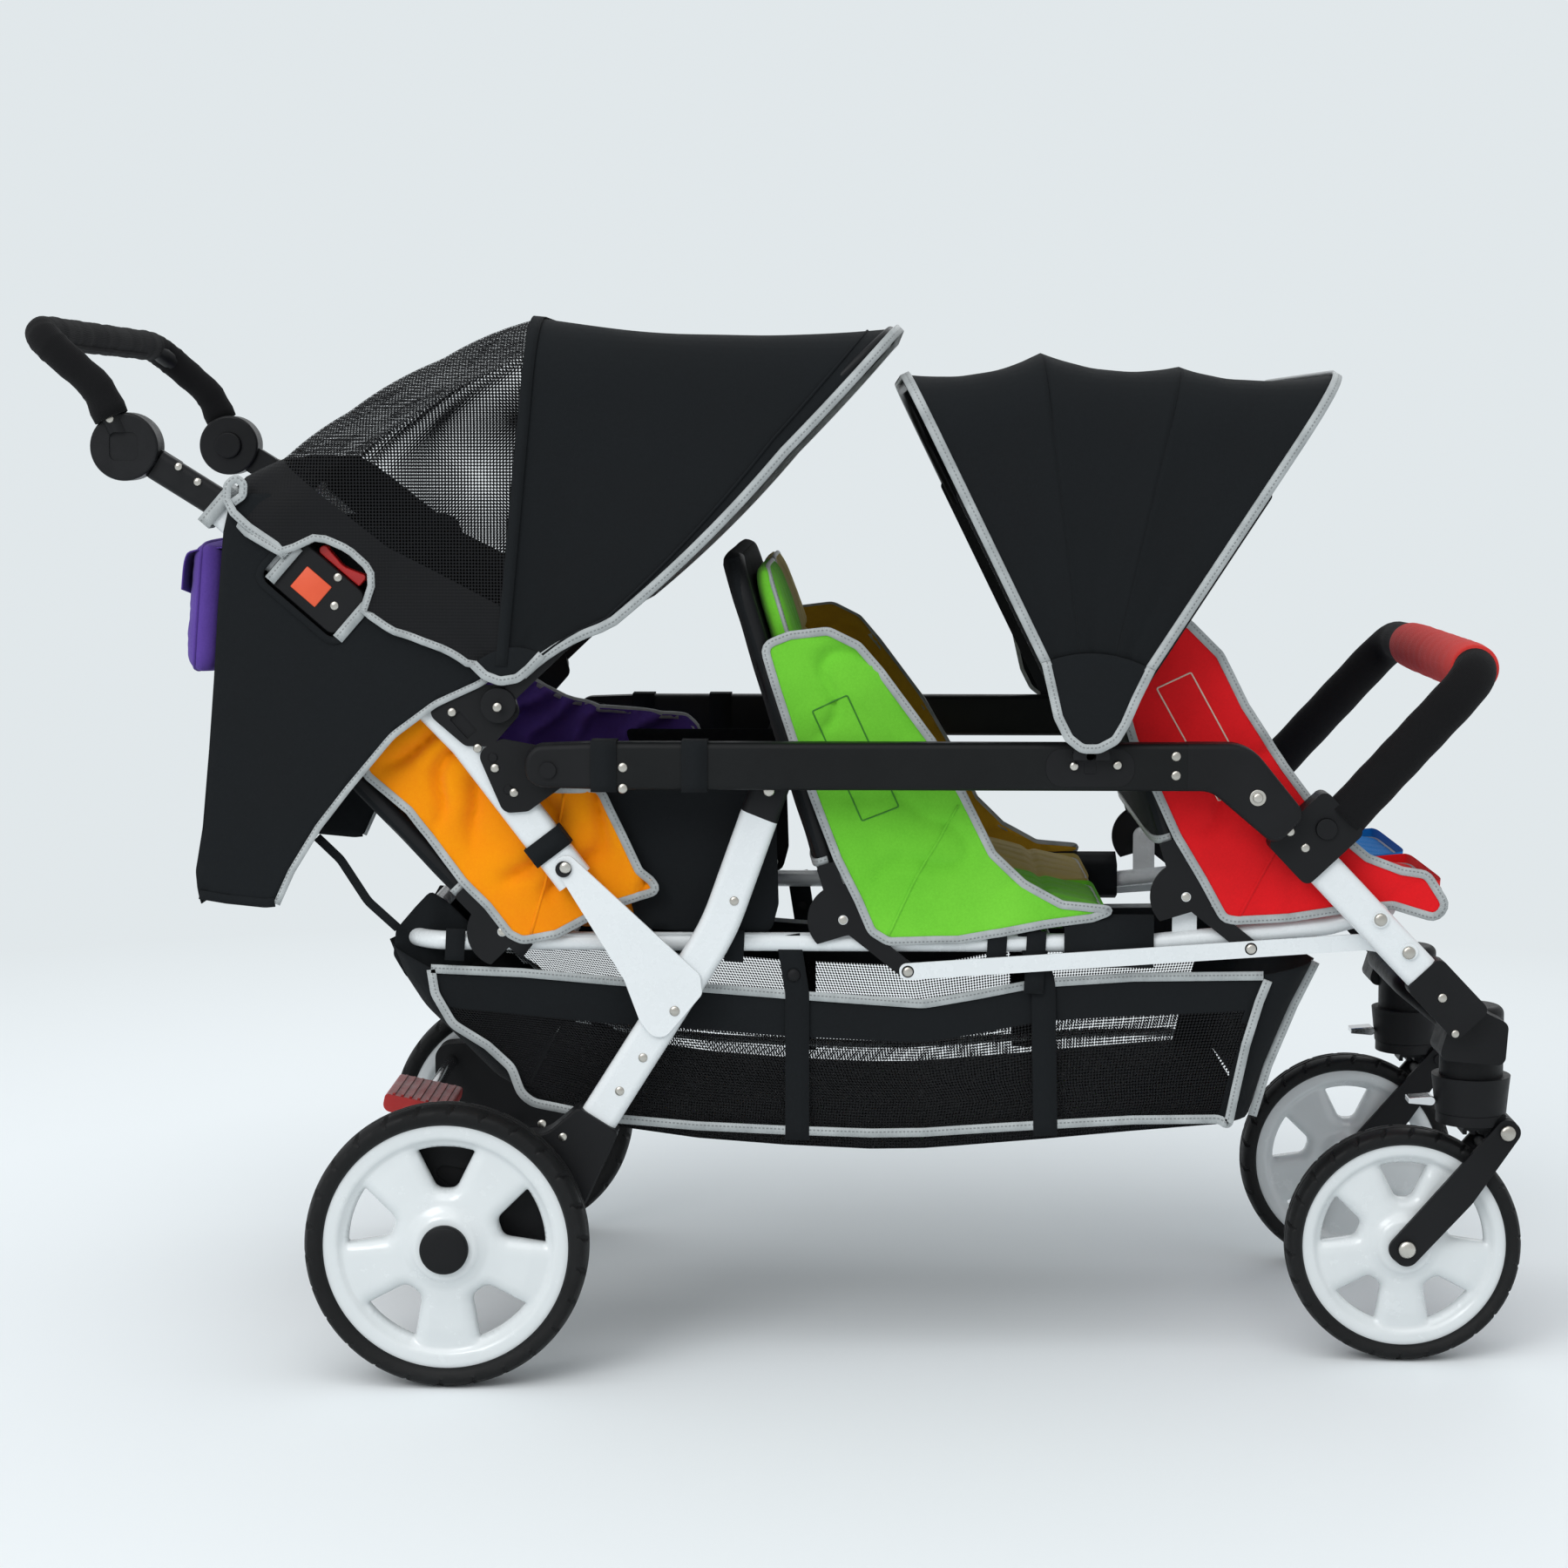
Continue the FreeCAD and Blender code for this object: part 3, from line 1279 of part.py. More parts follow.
def rear_curtain():
    """Hanging back sheet and its two side wings, open round the fold locks."""
    wing_outline = [curtain_top, curtain_middle, curtain_foot, wing_foot] + list(wing_places)
    wing_outline += [
        along_line(push_knee, lock_place, wing_rise, -wing_rise),
        along_line(lock_place, collar_end, 0, -wing_rise),
        along_line(collar_end, lock_place, wing_rise / 2, wing_rise),
    ]
    radii = [0, 60.0, 0, 8.0, 20.0, 20.0, 30.0, 8.0, 8.0, 0, 8.0]
    wing = plate(wing_outline, radii, curtain_y - curtain_thick, curtain_y)
    gap = lock_opening_gap
    opening = bar_outline(
        lock_place, collar_end, -lock_long * 0.3 - gap, lock_long * 0.7 + gap,
        -2 * lock_above, lock_below + gap,
    )
    wing = wing.cut(plate(opening, 2 * gap, curtain_y - overrun, curtain_y + overrun))
    back_outline = [
        curtain_top, curtain_middle, curtain_foot,
        (curtain_foot[0] + curtain_thick, curtain_foot[1]),
        (curtain_middle[0] + curtain_thick, curtain_middle[1]),
        (curtain_top[0] + curtain_thick, curtain_top[1]),
    ]
    back = plate(back_outline, 0, -curtain_y, curtain_y)
    return fused([back, wing, other_side(wing)])


# Rear pouch: a purple bag across the back of the curtain
pouch_deep = 42.0
pouch_top_z = 886.0
pouch_low_z = 742.0
pouch_half = 236.0


def rear_pouch():
    """Soft bag with rounded corners, flat against the curtain."""
    drop = curtain_top[1] - curtain_middle[1]
    low = between(curtain_middle, curtain_top, (pouch_low_z - curtain_middle[1]) / drop)
    high = between(curtain_middle, curtain_top, (pouch_top_z - curtain_middle[1]) / drop)
    outline = [
        (low[0] - pouch_deep * 0.95, low[1]),
        (low[0] - body_gap, low[1]),
        (high[0] - body_gap, high[1]),
        (high[0] - pouch_deep * 0.8, high[1]),
    ]
    bag = plate(outline, (18.0, 6.0, 4.0, 10.0), -pouch_half, pouch_half)
    ends = [edge for edge in bag.Edges if abs(abs(edge.CenterOfMass.y) - pouch_half) < SAME]
    return bag.makeChamfer(pouch_deep / 6, ends)


# Cushions and back pads: lofts with drawn-in ends and sewn channels on the top
cushion_start = 46.0
cushion_deep = 236.0
cushion_thick = 56.0
cushion_crown = 10.0
cushion_inner_y = 5.0
cushion_outer_y = 228.0
cushion_channels = 4
cushion_lift = 0.3
cross_shares = (0.08, 0.72)
pad_start = 62.0
pad_thick = 30.0
pad_front = 12.0
shell_rear = 4.0
pad_channels = 5
end_inset_share = 0.2


def channel_section(start, end, thick, crown, channels, y, shrink):
    """Closed outline of a quilted pad at one Y: flat below, arcs over each channel."""
    reach = math.dist(start, end)
    inset = thick * shrink
    low, high = inset, reach - inset
    base = inset * 0.6
    top = thick - crown * 0.4 - inset * 0.6
    step = (high - low) / channels
    corner = [along_line(start, end, low, base), along_line(start, end, high, base)]
    spots = [at(place, y) for place in corner]
    edges = [Part.LineSegment(spots[0], spots[1]).toShape()]
    right = at(along_line(start, end, high, top), y)
    bulge = at(along_line(start, end, high + inset * 0.4 + crown * 0.3, (base + top) / 2), y)
    edges.append(Part.Arc(spots[1], bulge, right).toShape())
    here = right
    for i in range(channels):
        far = high - step * (i + 1)
        following = at(along_line(start, end, far, top), y)
        crest = at(along_line(start, end, far + step / 2, top + crown * (1 - shrink)), y)
        edges.append(Part.Arc(here, crest, following).toShape())
        here = following
    bulge = at(along_line(start, end, low - inset * 0.4 - crown * 0.3, (base + top) / 2), y)
    edges.append(Part.Arc(here, bulge, spots[0]).toShape())
    return Part.Wire(edges)


def quilted_pad(start, end, thick, crown, channels, inner_y, outer_y):
    """A pad through five sections, smaller at both ends."""
    wide = outer_y - inner_y
    wires = []
    for share, shrink in ((0, end_inset_share), (0.08, 0.05), (0.5, 0.0), (0.92, 0.05), (1, end_inset_share)):
        wires.append(channel_section(start, end, thick, crown, channels, inner_y + wide * share, shrink))
    return Part.makeLoft(wires, True, True)


def row_cushions(row):
    """Both seat cushions of a row, on the crossbars."""
    x_a = row_hinges[row][0] + cushion_start
    low_x = x_a + cushion_deep * cross_shares[0]
    high_x = x_a + cushion_deep * cross_shares[1]
    slope = (seat_line_z(high_x) - seat_line_z(low_x)) / (high_x - low_x)
    rise = cross_radius / math.cos(math.atan(slope)) + cushion_lift
    start = (x_a, seat_line_z(low_x) - slope * (low_x - x_a) + rise)
    end = (x_a + cushion_deep, start[1] + slope * cushion_deep)
    pad = quilted_pad(start, end, cushion_thick, cushion_crown, cushion_channels, cushion_inner_y, cushion_outer_y)
    return both(pad)


def back_shell(hinge, top):
    """Cloth shell stretched inside the back tube, behind both pads."""
    inner = back_tube_radius + body_gap
    half = back_tube_y - inner
    low, high = pad_start - inner, back_long - inner
    points = []
    for reach, side in ((low, -half), (low, half), (high, half), (high, -half)):
        points.append(at(along_line(hinge, top, reach, shell_rear), side))
    corner = back_corner - inner
    face = Part.Face(Part.Wire(corner_edges(points, (0, 0, corner, corner), True)))
    ahead = at(along_line(hinge, top, low, -pad_front)) - at(along_line(hinge, top, low, shell_rear))
    return face.extrude(ahead)


def row_back_pads(row):
    """Both back pads of a row and the shell that carries them, on the back tube."""
    hinge = row_hinges[row]
    turn = math.radians(back_angles[row])
    top = (hinge[0] + back_long * math.cos(turn), hinge[1] + back_long * math.sin(turn))
    low = along_line(hinge, top, pad_start, -pad_front)
    high = along_line(hinge, top, back_long - back_tube_radius - body_gap, -pad_front)
    pad = quilted_pad(
        high, low, pad_thick, cushion_crown * 0.6, pad_channels, cushion_inner_y, back_tube_y - back_tube_radius - body_gap
    )
    return both(pad) + [back_shell(hinge, top)]


# Side panels: cloth wings from each backrest to the front of its seat, in shares of
# the row's pitch, from the backrest's hinge
panel_y = back_tube_y + back_tube_radius + 0.3
panel_thick = 2.0
row_pitch = row_hinges[1][0] - row_hinges[0][0]
rear_panel_shares = (
    (0.20, 0.02), (-0.06, 0.17), (-0.50, 0.54), (-0.37, 0.61), (-0.19, 0.63), (0.0, 0.60),
    (0.22, 0.46), (0.46, 0.39), (0.62, 0.16), (0.60, 0.07),
)
middle_panel_shares = (
    (0.16, -0.035), (-0.115, 0.37), (-0.247, 0.81), (-0.05, 0.855), (0.06, 0.79),
    (0.26, 0.53), (0.40, 0.24), (0.55, 0.12), (0.79, 0.06), (0.81, 0.02), (0.62, 0.02),
)
front_panel_shares = (
    (0.165, -0.03), (-0.105, 0.33), (-0.214, 0.70), (0.0, 0.80), (0.09, 0.71),
    (0.26, 0.40), (0.36, 0.29), (0.62, 0.17), (0.75, 0.06), (0.73, 0.01), (0.5, 0.0),
)
panel_round_share = 0.02


def side_panel(row):
    """One row's cloth wing, outside its back tube."""
    shares = (rear_panel_shares, middle_panel_shares, front_panel_shares)[row]
    hinge = row_hinges[row]
    outline = [(hinge[0] + row_pitch * x, hinge[1] + row_pitch * z) for x, z in shares]
    return plate(outline, row_pitch * panel_round_share, panel_y, panel_y + panel_thick)


# Basket: an open cloth box under the seats, hung from the seat tubes
basket_wall = 3.0
basket_top_z = seat_tube_z - seat_tube_radius - body_gap
basket_y = seat_tube_y + 2.0
basket_places = (
    (-17.0, 0), (66.0, 342.0), (136.0, 284.0), (336.0, 262.0), (494.0, 244.0),
    (700.0, 254.0), (873.0, 271.0), (944.0, 0),
)
basket_round = 30.0


def basket():
    """Sagging open box: walls and floor of cloth, open at the top."""

    def body(inset, top):
        outline = []
        for i, (x, z) in enumerate(basket_places):
            lean = inset if i < 3 else (-inset if i > 5 else 0)
            outline.append((x + lean, (z + inset) if z else top))
        radii = [0] + [basket_round] * (len(outline) - 2) + [0]
        return plate(outline, radii, -basket_y + inset, basket_y - inset)

    return body(0, basket_top_z).cut(body(basket_wall, basket_top_z + overrun))


os.makedirs("parts", exist_ok=True)

save("side_rails", both(side_rail()))
front_stud_end = front_bow_y + 3 * bow_plane_step + bow_arm_thick / 2 + body_gap
clip = fused([canopy_clip(), hub_studs(front_canopy_hub, rail_outer_y + clip_deep, front_stud_end)])
save("rail_fittings", both(rear_cap()) + both(front_elbow()) + both(clip))
save("rail_bolts", rail_bolts())

for i, name in enumerate(("rear", "second", "third", "front")):
    bow_y = front_bow_y + i * bow_plane_step
    save("front_canopy_bow_" + name, canopy_bow(front_canopy_hub, front_bow_angles[i], front_bow_reaches[i], bow_y))
save("front_canopy_cloth", front_canopy_cloth())

save("push_tubes", both(push_tube()))
save("hub_inserts", both(hub_insert()))
save("lock_housings", both(lock_housing()))
save("lock_levers", both(lock_lever()))
bracket_studs = hub_studs(
    rear_canopy_hub, plate_outer_y, rear_bow_y + bow_plane_step + bow_arm_thick / 2 + body_gap
)
brackets = fused([rail_bracket(), canopy_bracket(), bracket_studs] + push_rivets())
save("tube_brackets", both(brackets) + push_bolts())
save("rear_curtain", rear_curtain())
save("rear_pouch", rear_pouch())

save("rear_canopy_bow_middle", canopy_bow(rear_canopy_hub, rear_bow_angles[0], rear_bow_reaches[0], rear_bow_y))
save("rear_canopy_bow_front", canopy_bow(
    rear_canopy_hub, rear_bow_angles[1], rear_bow_reaches[1], rear_bow_y + bow_plane_step
))
save("rear_canopy_cloth", rear_canopy_cloth())

save("handle_bar", handle_bar())
save("handle_grip", handle_grip())
save("hub_button_left", hub_button())
save("hub_button_right", other_side(hub_button()))
save("gusset_plates", both(gusset_plate()))

save("rear_legs", both(rear_leg()))
save("axle_housings", both(axle_housing()))
save("rear_axle", [rear_axle(), brake_bar()])
save("brake_pedal", brake_pedal())

axle_place = (0.0, rear_wheel_radius)
tyre, rims = wheel_pieces(
    axle_place, rear_wheel_y, rear_wheel_radius, rear_tyre_width, rear_hub_length, axle_radius, True
)
save("rear_tyre_left", tyre)
save("rear_rim_left", rims)
save("rear_tyre_right", other_side(tyre))
save("rear_rim_right", [other_side(rim) for rim in rims])

front_place = (wheelbase, front_wheel_radius)
tyre, rims = wheel_pieces(
    front_place, front_wheel_y, front_wheel_radius, front_tyre_width, front_hub_length, front_axle_radius, False
)
save("front_tyre_left", tyre)
save("front_rim_left", rims)
save("front_tyre_right", other_side(tyre))
save("front_rim_right", [other_side(rim) for rim in rims])

front_leg_bolts = []
for place, inner in ((seat_front_pivot, seat_tube_y), (bar_front_pivot, link_inner_y)):
    bolt = peg(place, pin_radius, inner, tube_outer_y).fuse(
        peg(place, pin_head_radius, tube_outer_y, tube_outer_y + pin_head_tall)
    ).removeSplitter()
    front_leg_bolts += both(bolt)
save("front_legs", both(front_leg()) + front_leg_bolts)
save("caster_mounts", caster_mounts())
save("bumper_sockets", both(bumper_socket()))
save("bumper_button_left", bumper_button())
save("bumper_button_right", other_side(bumper_button()))
save("bumper_bar", bumper_bar())
save("bumper_wrap", bumper_wrap())
save("swivel_locks", both(swivel_lock()))

crown = caster_crown()
save("caster_crown_left", crown)
save("caster_crown_right", other_side(crown))
fork = caster_fork()
save("caster_fork_left", fork)
save("caster_fork_right", other_side(fork))

save("seat_frame", seat_frame())
save("link_bars", both(link_bar()))
for i, name in enumerate(row_names):
    save(name + "_back_frame", back_frame(i))
    save(name + "_back_pads", row_back_pads(i))
    save(name + "_cushions", row_cushions(i))
panels = []
for i in range(len(row_names)):
    panels += both(side_panel(i))
save("side_panels", panels)
save("basket", basket())

print("middle_x", middle_x)
for label, place in (
    ("rail_pivot", rail_pivot), ("push_pivot", push_pivot), ("rear_leg_pivot", rear_leg_pivot),
    ("front_leg_pivot", front_leg_pivot), ("seat_front_pivot", seat_front_pivot),
    ("bar_front_pivot", bar_front_pivot), ("handle_hub", handle_hub), ("button", button_place()),
    ("lever", lever_hinge), ("brake_bar", brake_bar_place), ("fork_pivot", fork_pivot),
    ("front_axle", front_place), ("rear_axle", axle_place), ("lock_hinge", lock_hinge),
    ("rear_canopy_hub", rear_canopy_hub), ("front_canopy_hub", front_canopy_hub), ("caster", (caster_x, 0)),
    ("hinge_rear", row_hinges[0]), ("hinge_middle", row_hinges[1]), ("hinge_front", row_hinges[2]),
    ("rail_top", (rail_rear_x + rail_front_x / 2, rail_high)),
):
    print("place", label, place[0] - middle_x, place[1])
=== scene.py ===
import json
import math
from contextlib import contextmanager

import bmesh
import bpy
import numpy as np
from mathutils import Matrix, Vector, noise
from mathutils.geometry import delaunay_2d_cdt

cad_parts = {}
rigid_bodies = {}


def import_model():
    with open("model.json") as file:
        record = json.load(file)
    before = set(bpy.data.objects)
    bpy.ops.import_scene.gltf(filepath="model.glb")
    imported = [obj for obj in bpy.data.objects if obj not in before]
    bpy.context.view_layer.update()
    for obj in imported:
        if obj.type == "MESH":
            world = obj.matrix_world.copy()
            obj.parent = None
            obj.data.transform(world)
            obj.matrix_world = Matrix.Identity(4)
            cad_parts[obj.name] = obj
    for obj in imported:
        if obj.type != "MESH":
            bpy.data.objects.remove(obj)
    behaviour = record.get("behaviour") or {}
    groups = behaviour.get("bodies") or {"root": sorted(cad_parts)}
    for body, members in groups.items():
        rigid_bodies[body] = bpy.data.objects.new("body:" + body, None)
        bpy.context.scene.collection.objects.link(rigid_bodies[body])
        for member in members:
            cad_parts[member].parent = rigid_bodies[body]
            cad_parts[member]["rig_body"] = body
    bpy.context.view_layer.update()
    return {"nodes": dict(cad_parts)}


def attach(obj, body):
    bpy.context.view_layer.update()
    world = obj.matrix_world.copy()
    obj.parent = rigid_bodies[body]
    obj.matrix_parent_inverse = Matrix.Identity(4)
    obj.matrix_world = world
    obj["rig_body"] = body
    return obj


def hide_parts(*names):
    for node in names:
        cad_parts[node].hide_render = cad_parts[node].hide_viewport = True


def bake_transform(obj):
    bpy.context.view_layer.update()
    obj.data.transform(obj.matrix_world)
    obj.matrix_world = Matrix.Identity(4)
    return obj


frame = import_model()
nodes = frame["nodes"]

# Side rails: two straight black extrusions that carry everything else, powder coated with a
# soft satin texture. The legs, canopies and push tubes all turn on bolts through them.
middle_x = 350.75
both_sides = (("left", 1), ("right", -1))
side_names = {-1: "near", 1: "far"}


def put(x, y, z):
    """A point from millimetres ahead of the rear axle, left of the middle and up from the floor."""
    return Vector(((x - middle_x) / 1000, y / 1000, z / 1000))


def new_material(name, colour, rough, metal=0.0, plain=None):
    """A material with its shader's constant values set."""
    made = bpy.data.materials.new(name)
    made.use_nodes = True
    shader = made.node_tree.nodes["Principled BSDF"]
    shader.inputs["Base Color"].default_value = (*colour, 1)
    shader.inputs["Roughness"].default_value = rough
    shader.inputs["Metallic"].default_value = metal
    for socket, value in (plain or {}).items():
        shader.inputs[socket].default_value = value
    return made


def add(owner, kind, inputs=None, **settings):
    """A node in a tree or in its owner's, its inputs linked to sockets or set to values."""
    tree = getattr(owner, "node_tree", owner)
    node = tree.nodes.new(kind)
    for key, value in settings.items():
        setattr(node, key, value)
    for key, value in (inputs or {}).items():
        if isinstance(value, bpy.types.NodeSocket):
            tree.links.new(value, node.inputs[key])
        else:
            node.inputs[key].default_value = value
    return node


def math_node(made, operation, first, second=0.0):
    """One sum on two values."""
    return add(made, "ShaderNodeMath", {0: first, 1: second}, operation=operation).outputs[0]


def times(made, first, second):
    """The product of two values."""
    return math_node(made, "MULTIPLY", first, second)


def plus(made, first, second):
    """The sum of two values."""
    return math_node(made, "ADD", first, second)


def waves(made, value, pitch):
    """A sine along a value, repeated at a pitch."""
    return math_node(made, "SINE", times(made, value, math.tau / pitch))


def blend_colour(made, share, first, second):
    """A colour between two others."""
    node = add(made, "ShaderNodeMix", {0: share, 6: first, 7: second}, data_type="RGBA")
    return node.outputs[2]


def spread(made, share, low, high, from_low=0.0, from_high=1.0):
    """A value carried from one range to another."""
    ends = {0: share, 1: from_low, 2: from_high, 3: low, 4: high}
    return add(made, "ShaderNodeMapRange", ends).outputs[0]


def cloudy(made, where, scale, detail=3.0, rough=0.6):
    """Soft noise at a scale in repeats per metre."""
    given = {"Vector": where, "Scale": scale, "Detail": detail, "Roughness": rough}
    return add(made, "ShaderNodeTexNoise", given).outputs[0]


def shade(made, colour=None, rough=None, height=None, depth=0.0005, strength=1.0):
    """Links a material's colour, roughness and bump to its shader."""
    tree = made.node_tree
    shader = tree.nodes["Principled BSDF"]
    if colour is not None:
        tree.links.new(colour, shader.inputs["Base Color"])
    if rough is not None:
        tree.links.new(rough, shader.inputs["Roughness"])
    if height is not None:
        bump = add(made, "ShaderNodeBump", {"Height": height, "Distance": depth, "Strength": strength})
        tree.links.new(bump.outputs[0], shader.inputs["Normal"])
    return made


def hard_finish(name, dark, light, rough, grain=900.0, depth=0.0001, metal=0.0, plain=None):
    """Paint, moulded plastic or metal: broad tone, handling marks and a fine grain."""
    made = new_material(name, light, rough[0], metal, plain)
    where = add(made, "ShaderNodeTexCoord").outputs["Object"]
    broad = cloudy(made, where, 7.0, 2.0)
    marks = cloudy(made, where, 45.0, 5.0, 0.7)
    fine = cloudy(made, where, grain, 2.0)
    tone = plus(made, times(made, broad, 0.7), times(made, marks, 0.3))
    tone = spread(made, tone, 0, 1, 0.3, 0.7)
    colour = blend_colour(made, tone, (*dark, 1), (*light, 1))
    return shade(made, colour, spread(made, marks, *rough, 0.3, 0.7), fine, depth)


def collected(name, mesh):
    """A new object for a mesh, in the scene."""
    obj = bpy.data.objects.new(name, mesh)
    bpy.context.scene.collection.objects.link(obj)
    return obj


def applied(obj):
    """The object with its modifiers made part of its mesh."""
    graph = bpy.context.evaluated_depsgraph_get()
    mesh = bpy.data.meshes.new_from_object(obj.evaluated_get(graph))
    obj.modifiers.clear()
    obj.data = mesh
    return obj


@contextmanager
def editing(mesh):
    """A mesh opened as a bmesh, and written back at the end."""
    shape = bmesh.new()
    shape.from_mesh(mesh)
    yield shape
    shape.to_mesh(mesh)
    shape.free()


def belongs(obj, body, node=None):
    """Sets an object on its body, and hides the CAD node it stands for."""
    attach(obj, body)
    if node:
        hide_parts(node)
    return obj


def dressed(node, made, edge=0.0005):
    """A CAD node's copy with its points merged and its edges softened, in its own finish."""
    obj = collected(node + "_finish", nodes[node].data.copy())
    with editing(obj.data) as shape:
        bmesh.ops.remove_doubles(shape, verts=shape.verts, dist=0.00001)
        bmesh.ops.dissolve_limit(shape, angle_limit=0.004, verts=shape.verts, edges=shape.edges)
    obj.data.materials.clear()
    obj.data.materials.append(made)
    obj.data.shade_smooth()
    obj.data.set_sharp_from_angle(angle=math.radians(32))
    if edge:
        bevel = obj.modifiers.new("edge", "BEVEL")
        bevel.width = edge
        bevel.segments = 2
        bevel.limit_method = "ANGLE"
        bevel.angle_limit = math.radians(40)
        bevel.harden_normals = False
        weighted = obj.modifiers.new("weight", "WEIGHTED_NORMAL")
        weighted.keep_sharp = True
        applied(obj)
    return belongs(obj, nodes[node]["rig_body"], node)


satin = {"Specular IOR Level": 0.18}
rail_black = hard_finish(
    "rail_powder_black", (0.0036, 0.0042, 0.0045), (0.0064, 0.0074, 0.008), (0.4, 0.54), 1400.0, 0.00012,
    plain=satin)
dressed("side_rails", rail_black, 0.0)

# Rail fittings: the rear caps, the curved front elbows and the oval clips of the front
# canopy, all glass filled nylon. The canopy hub's boss is left off: its cloth foot covers it.
nylon_black = hard_finish(
    "nylon_black", (0.005, 0.0053, 0.006), (0.009, 0.0095, 0.0108), (0.4, 0.56), 2200.0, 0.0002, plain=satin)
fittings = dressed("rail_fittings", nylon_black, 0.0012)
clip_face = 0.3265
with editing(fittings.data) as shape:
    hidden = [face for face in shape.faces if abs(face.calc_center_median().y) > clip_face]
    bmesh.ops.delete(shape, geom=hidden, context="FACES")

# Bolts and rivets: plated steel with domed heads, turned and slightly worn. The loose rivet
# heads are instances of one dome on points in the plates' faces.
bolt_steel = hard_finish(
    "plated_steel", (0.42, 0.4, 0.36), (0.62, 0.6, 0.55), (0.22, 0.38), 1500.0, 0.00005, 1.0)
dressed("rail_bolts", bolt_steel)


def rivet_tree():
    """Geometry nodes that set a domed head on each point, facing the point's own way."""
    tree = bpy.data.node_groups.new("rivet_heads", "GeometryNodeTree")
    named = {}
    for name, way, kind in (
        ("Geometry", "INPUT", "Geometry"), ("Flatness", "INPUT", "Float"), ("Finish", "INPUT", "Material"),
        ("Result", "OUTPUT", "Geometry"),
    ):
        socket = tree.interface.new_socket(name, in_out=way, socket_type="NodeSocket" + kind)
        named[name] = socket.identifier
    given = add(tree, "NodeGroupInput").outputs
    ball = add(tree, "GeometryNodeMeshUVSphere", {"Segments": 20, "Rings": 10, "Radius": 1.0})
    squat = add(tree, "ShaderNodeCombineXYZ", {0: 1.0, 1: 1.0, 2: given["Flatness"]})
    dome = add(tree, "GeometryNodeTransform", {"Geometry": ball.outputs["Mesh"], "Scale": squat.outputs[0]})
    out = add(tree, "GeometryNodeInputNamedAttribute", {"Name": "out"}, data_type="FLOAT_VECTOR")
    size = add(tree, "GeometryNodeInputNamedAttribute", {"Name": "size"}, data_type="FLOAT")
    turn = add(tree, "FunctionNodeAlignRotationToVector", {"Vector": out.outputs["Attribute"]}, axis="Z")
    each = add(tree, "GeometryNodeInstanceOnPoints", {
        "Points": given["Geometry"], "Instance": dome.outputs[0], "Rotation": turn.outputs[0],
        "Scale": size.outputs["Attribute"],
    })
    solid = add(tree, "GeometryNodeRealizeInstances", {0: each.outputs[0]})
    smooth = add(tree, "GeometryNodeSetShadeSmooth", {0: solid.outputs[0]})
    coat = add(tree, "GeometryNodeSetMaterial", {"Geometry": smooth.outputs[0], "Material": given["Finish"]})
    add(tree, "NodeGroupOutput", {0: coat.outputs[0]})
    return tree, named["Flatness"], named["Finish"]


rivet_nodes, flat_socket, metal_socket = rivet_tree()


def rivet_heads(name, body, places, sides=(-1, 1), flatness=0.42, made=bolt_steel):
    """Domed heads at (x, y, z, radius) places in millimetres, on both sides, facing outwards."""
    mesh = bpy.data.meshes.new(name)
    spots = [(x, side * y, z, radius) for x, y, z, radius in places for side in sides]
    mesh.from_pydata([put(x, y, z) for x, y, z, _ in spots], [], [])
    mesh.attributes.new("out", "FLOAT_VECTOR", "POINT")
    mesh.attributes.new("size", "FLOAT", "POINT")
    ways = [part for _, y, _, _ in spots for part in (0, math.copysign(1, y), 0)]
    mesh.attributes["out"].data.foreach_set("vector", ways)
    mesh.attributes["size"].data.foreach_set("value", [radius / 1000 for *_, radius in spots])
    obj = collected(name, mesh)
    heads = obj.modifiers.new("heads", "NODES")
    heads.node_group = rivet_nodes
    heads[flat_socket] = flatness
    heads[metal_socket] = made
    return belongs(applied(obj), body)


rivet_heads("rail_rivets", "rails", [
    (187, 319, 655, 5.2), (187, 319, 633, 5.2), (763, 319, 668, 5.2), (763, 319, 648, 5.2),
    (109, 319, 653, 4.8), (657, 323, 658, 4.6), (702, 323, 659, 4.6),
])
rivet_heads("leg_pivot_rivets", "rails", [(339, 292.5, 628, 6.0), (848, 321.5, 625, 5.4)])

# Push tubes: white powder coated oblong steel tubes, with the black insert tubes that carry
# the handle's hubs, and the black brackets of the rail and of the rear canopy.
frame_white = hard_finish(
    "frame_white", (0.7, 0.735, 0.75), (0.74, 0.775, 0.79), (0.2, 0.34), 700.0, 0.00006,
    plain={"Coat Weight": 0.25})
tube_black = hard_finish(
    "tube_black", (0.006, 0.0063, 0.007), (0.011, 0.0116, 0.013), (0.3, 0.46), 1200.0, 0.00008, plain=satin)
dressed("push_tubes", frame_white)
dressed("hub_inserts", tube_black, 0.0008)
dressed("tube_brackets", nylon_black, 0.0008)
rivet_heads("bracket_rivets", "push_frame", [
    (5, 290, 710, 4.8), (32, 290, 672, 4.8), (50, 290.5, 651, 4.8), (70, 290.5, 625, 4.8),
    (-262, 285, 952, 4.2), (-282, 285, 968, 4.2),
])

# Fold locks: black housings screwed round the push tubes, each with a red release lever; the
# orange red panel on the housing is a plain moulded plate, left bare.
lock_red = hard_finish("lever_red", (0.42, 0.008, 0.01), (0.6, 0.014, 0.014), (0.3, 0.45), 1500.0, 0.00008)
panel_red = hard_finish(
    "panel_orange_red", (0.66, 0.07, 0.02), (0.76, 0.1, 0.03), (0.4, 0.5), 1800.0, 0.00006)
dressed("lock_housings", nylon_black, 0.0012)
dressed("lock_levers", lock_red, 0.0010)
rivet_heads("lock_rivets", "push_frame", [(-114, 290, 852, 4.8), (-118, 290, 822, 4.8)])


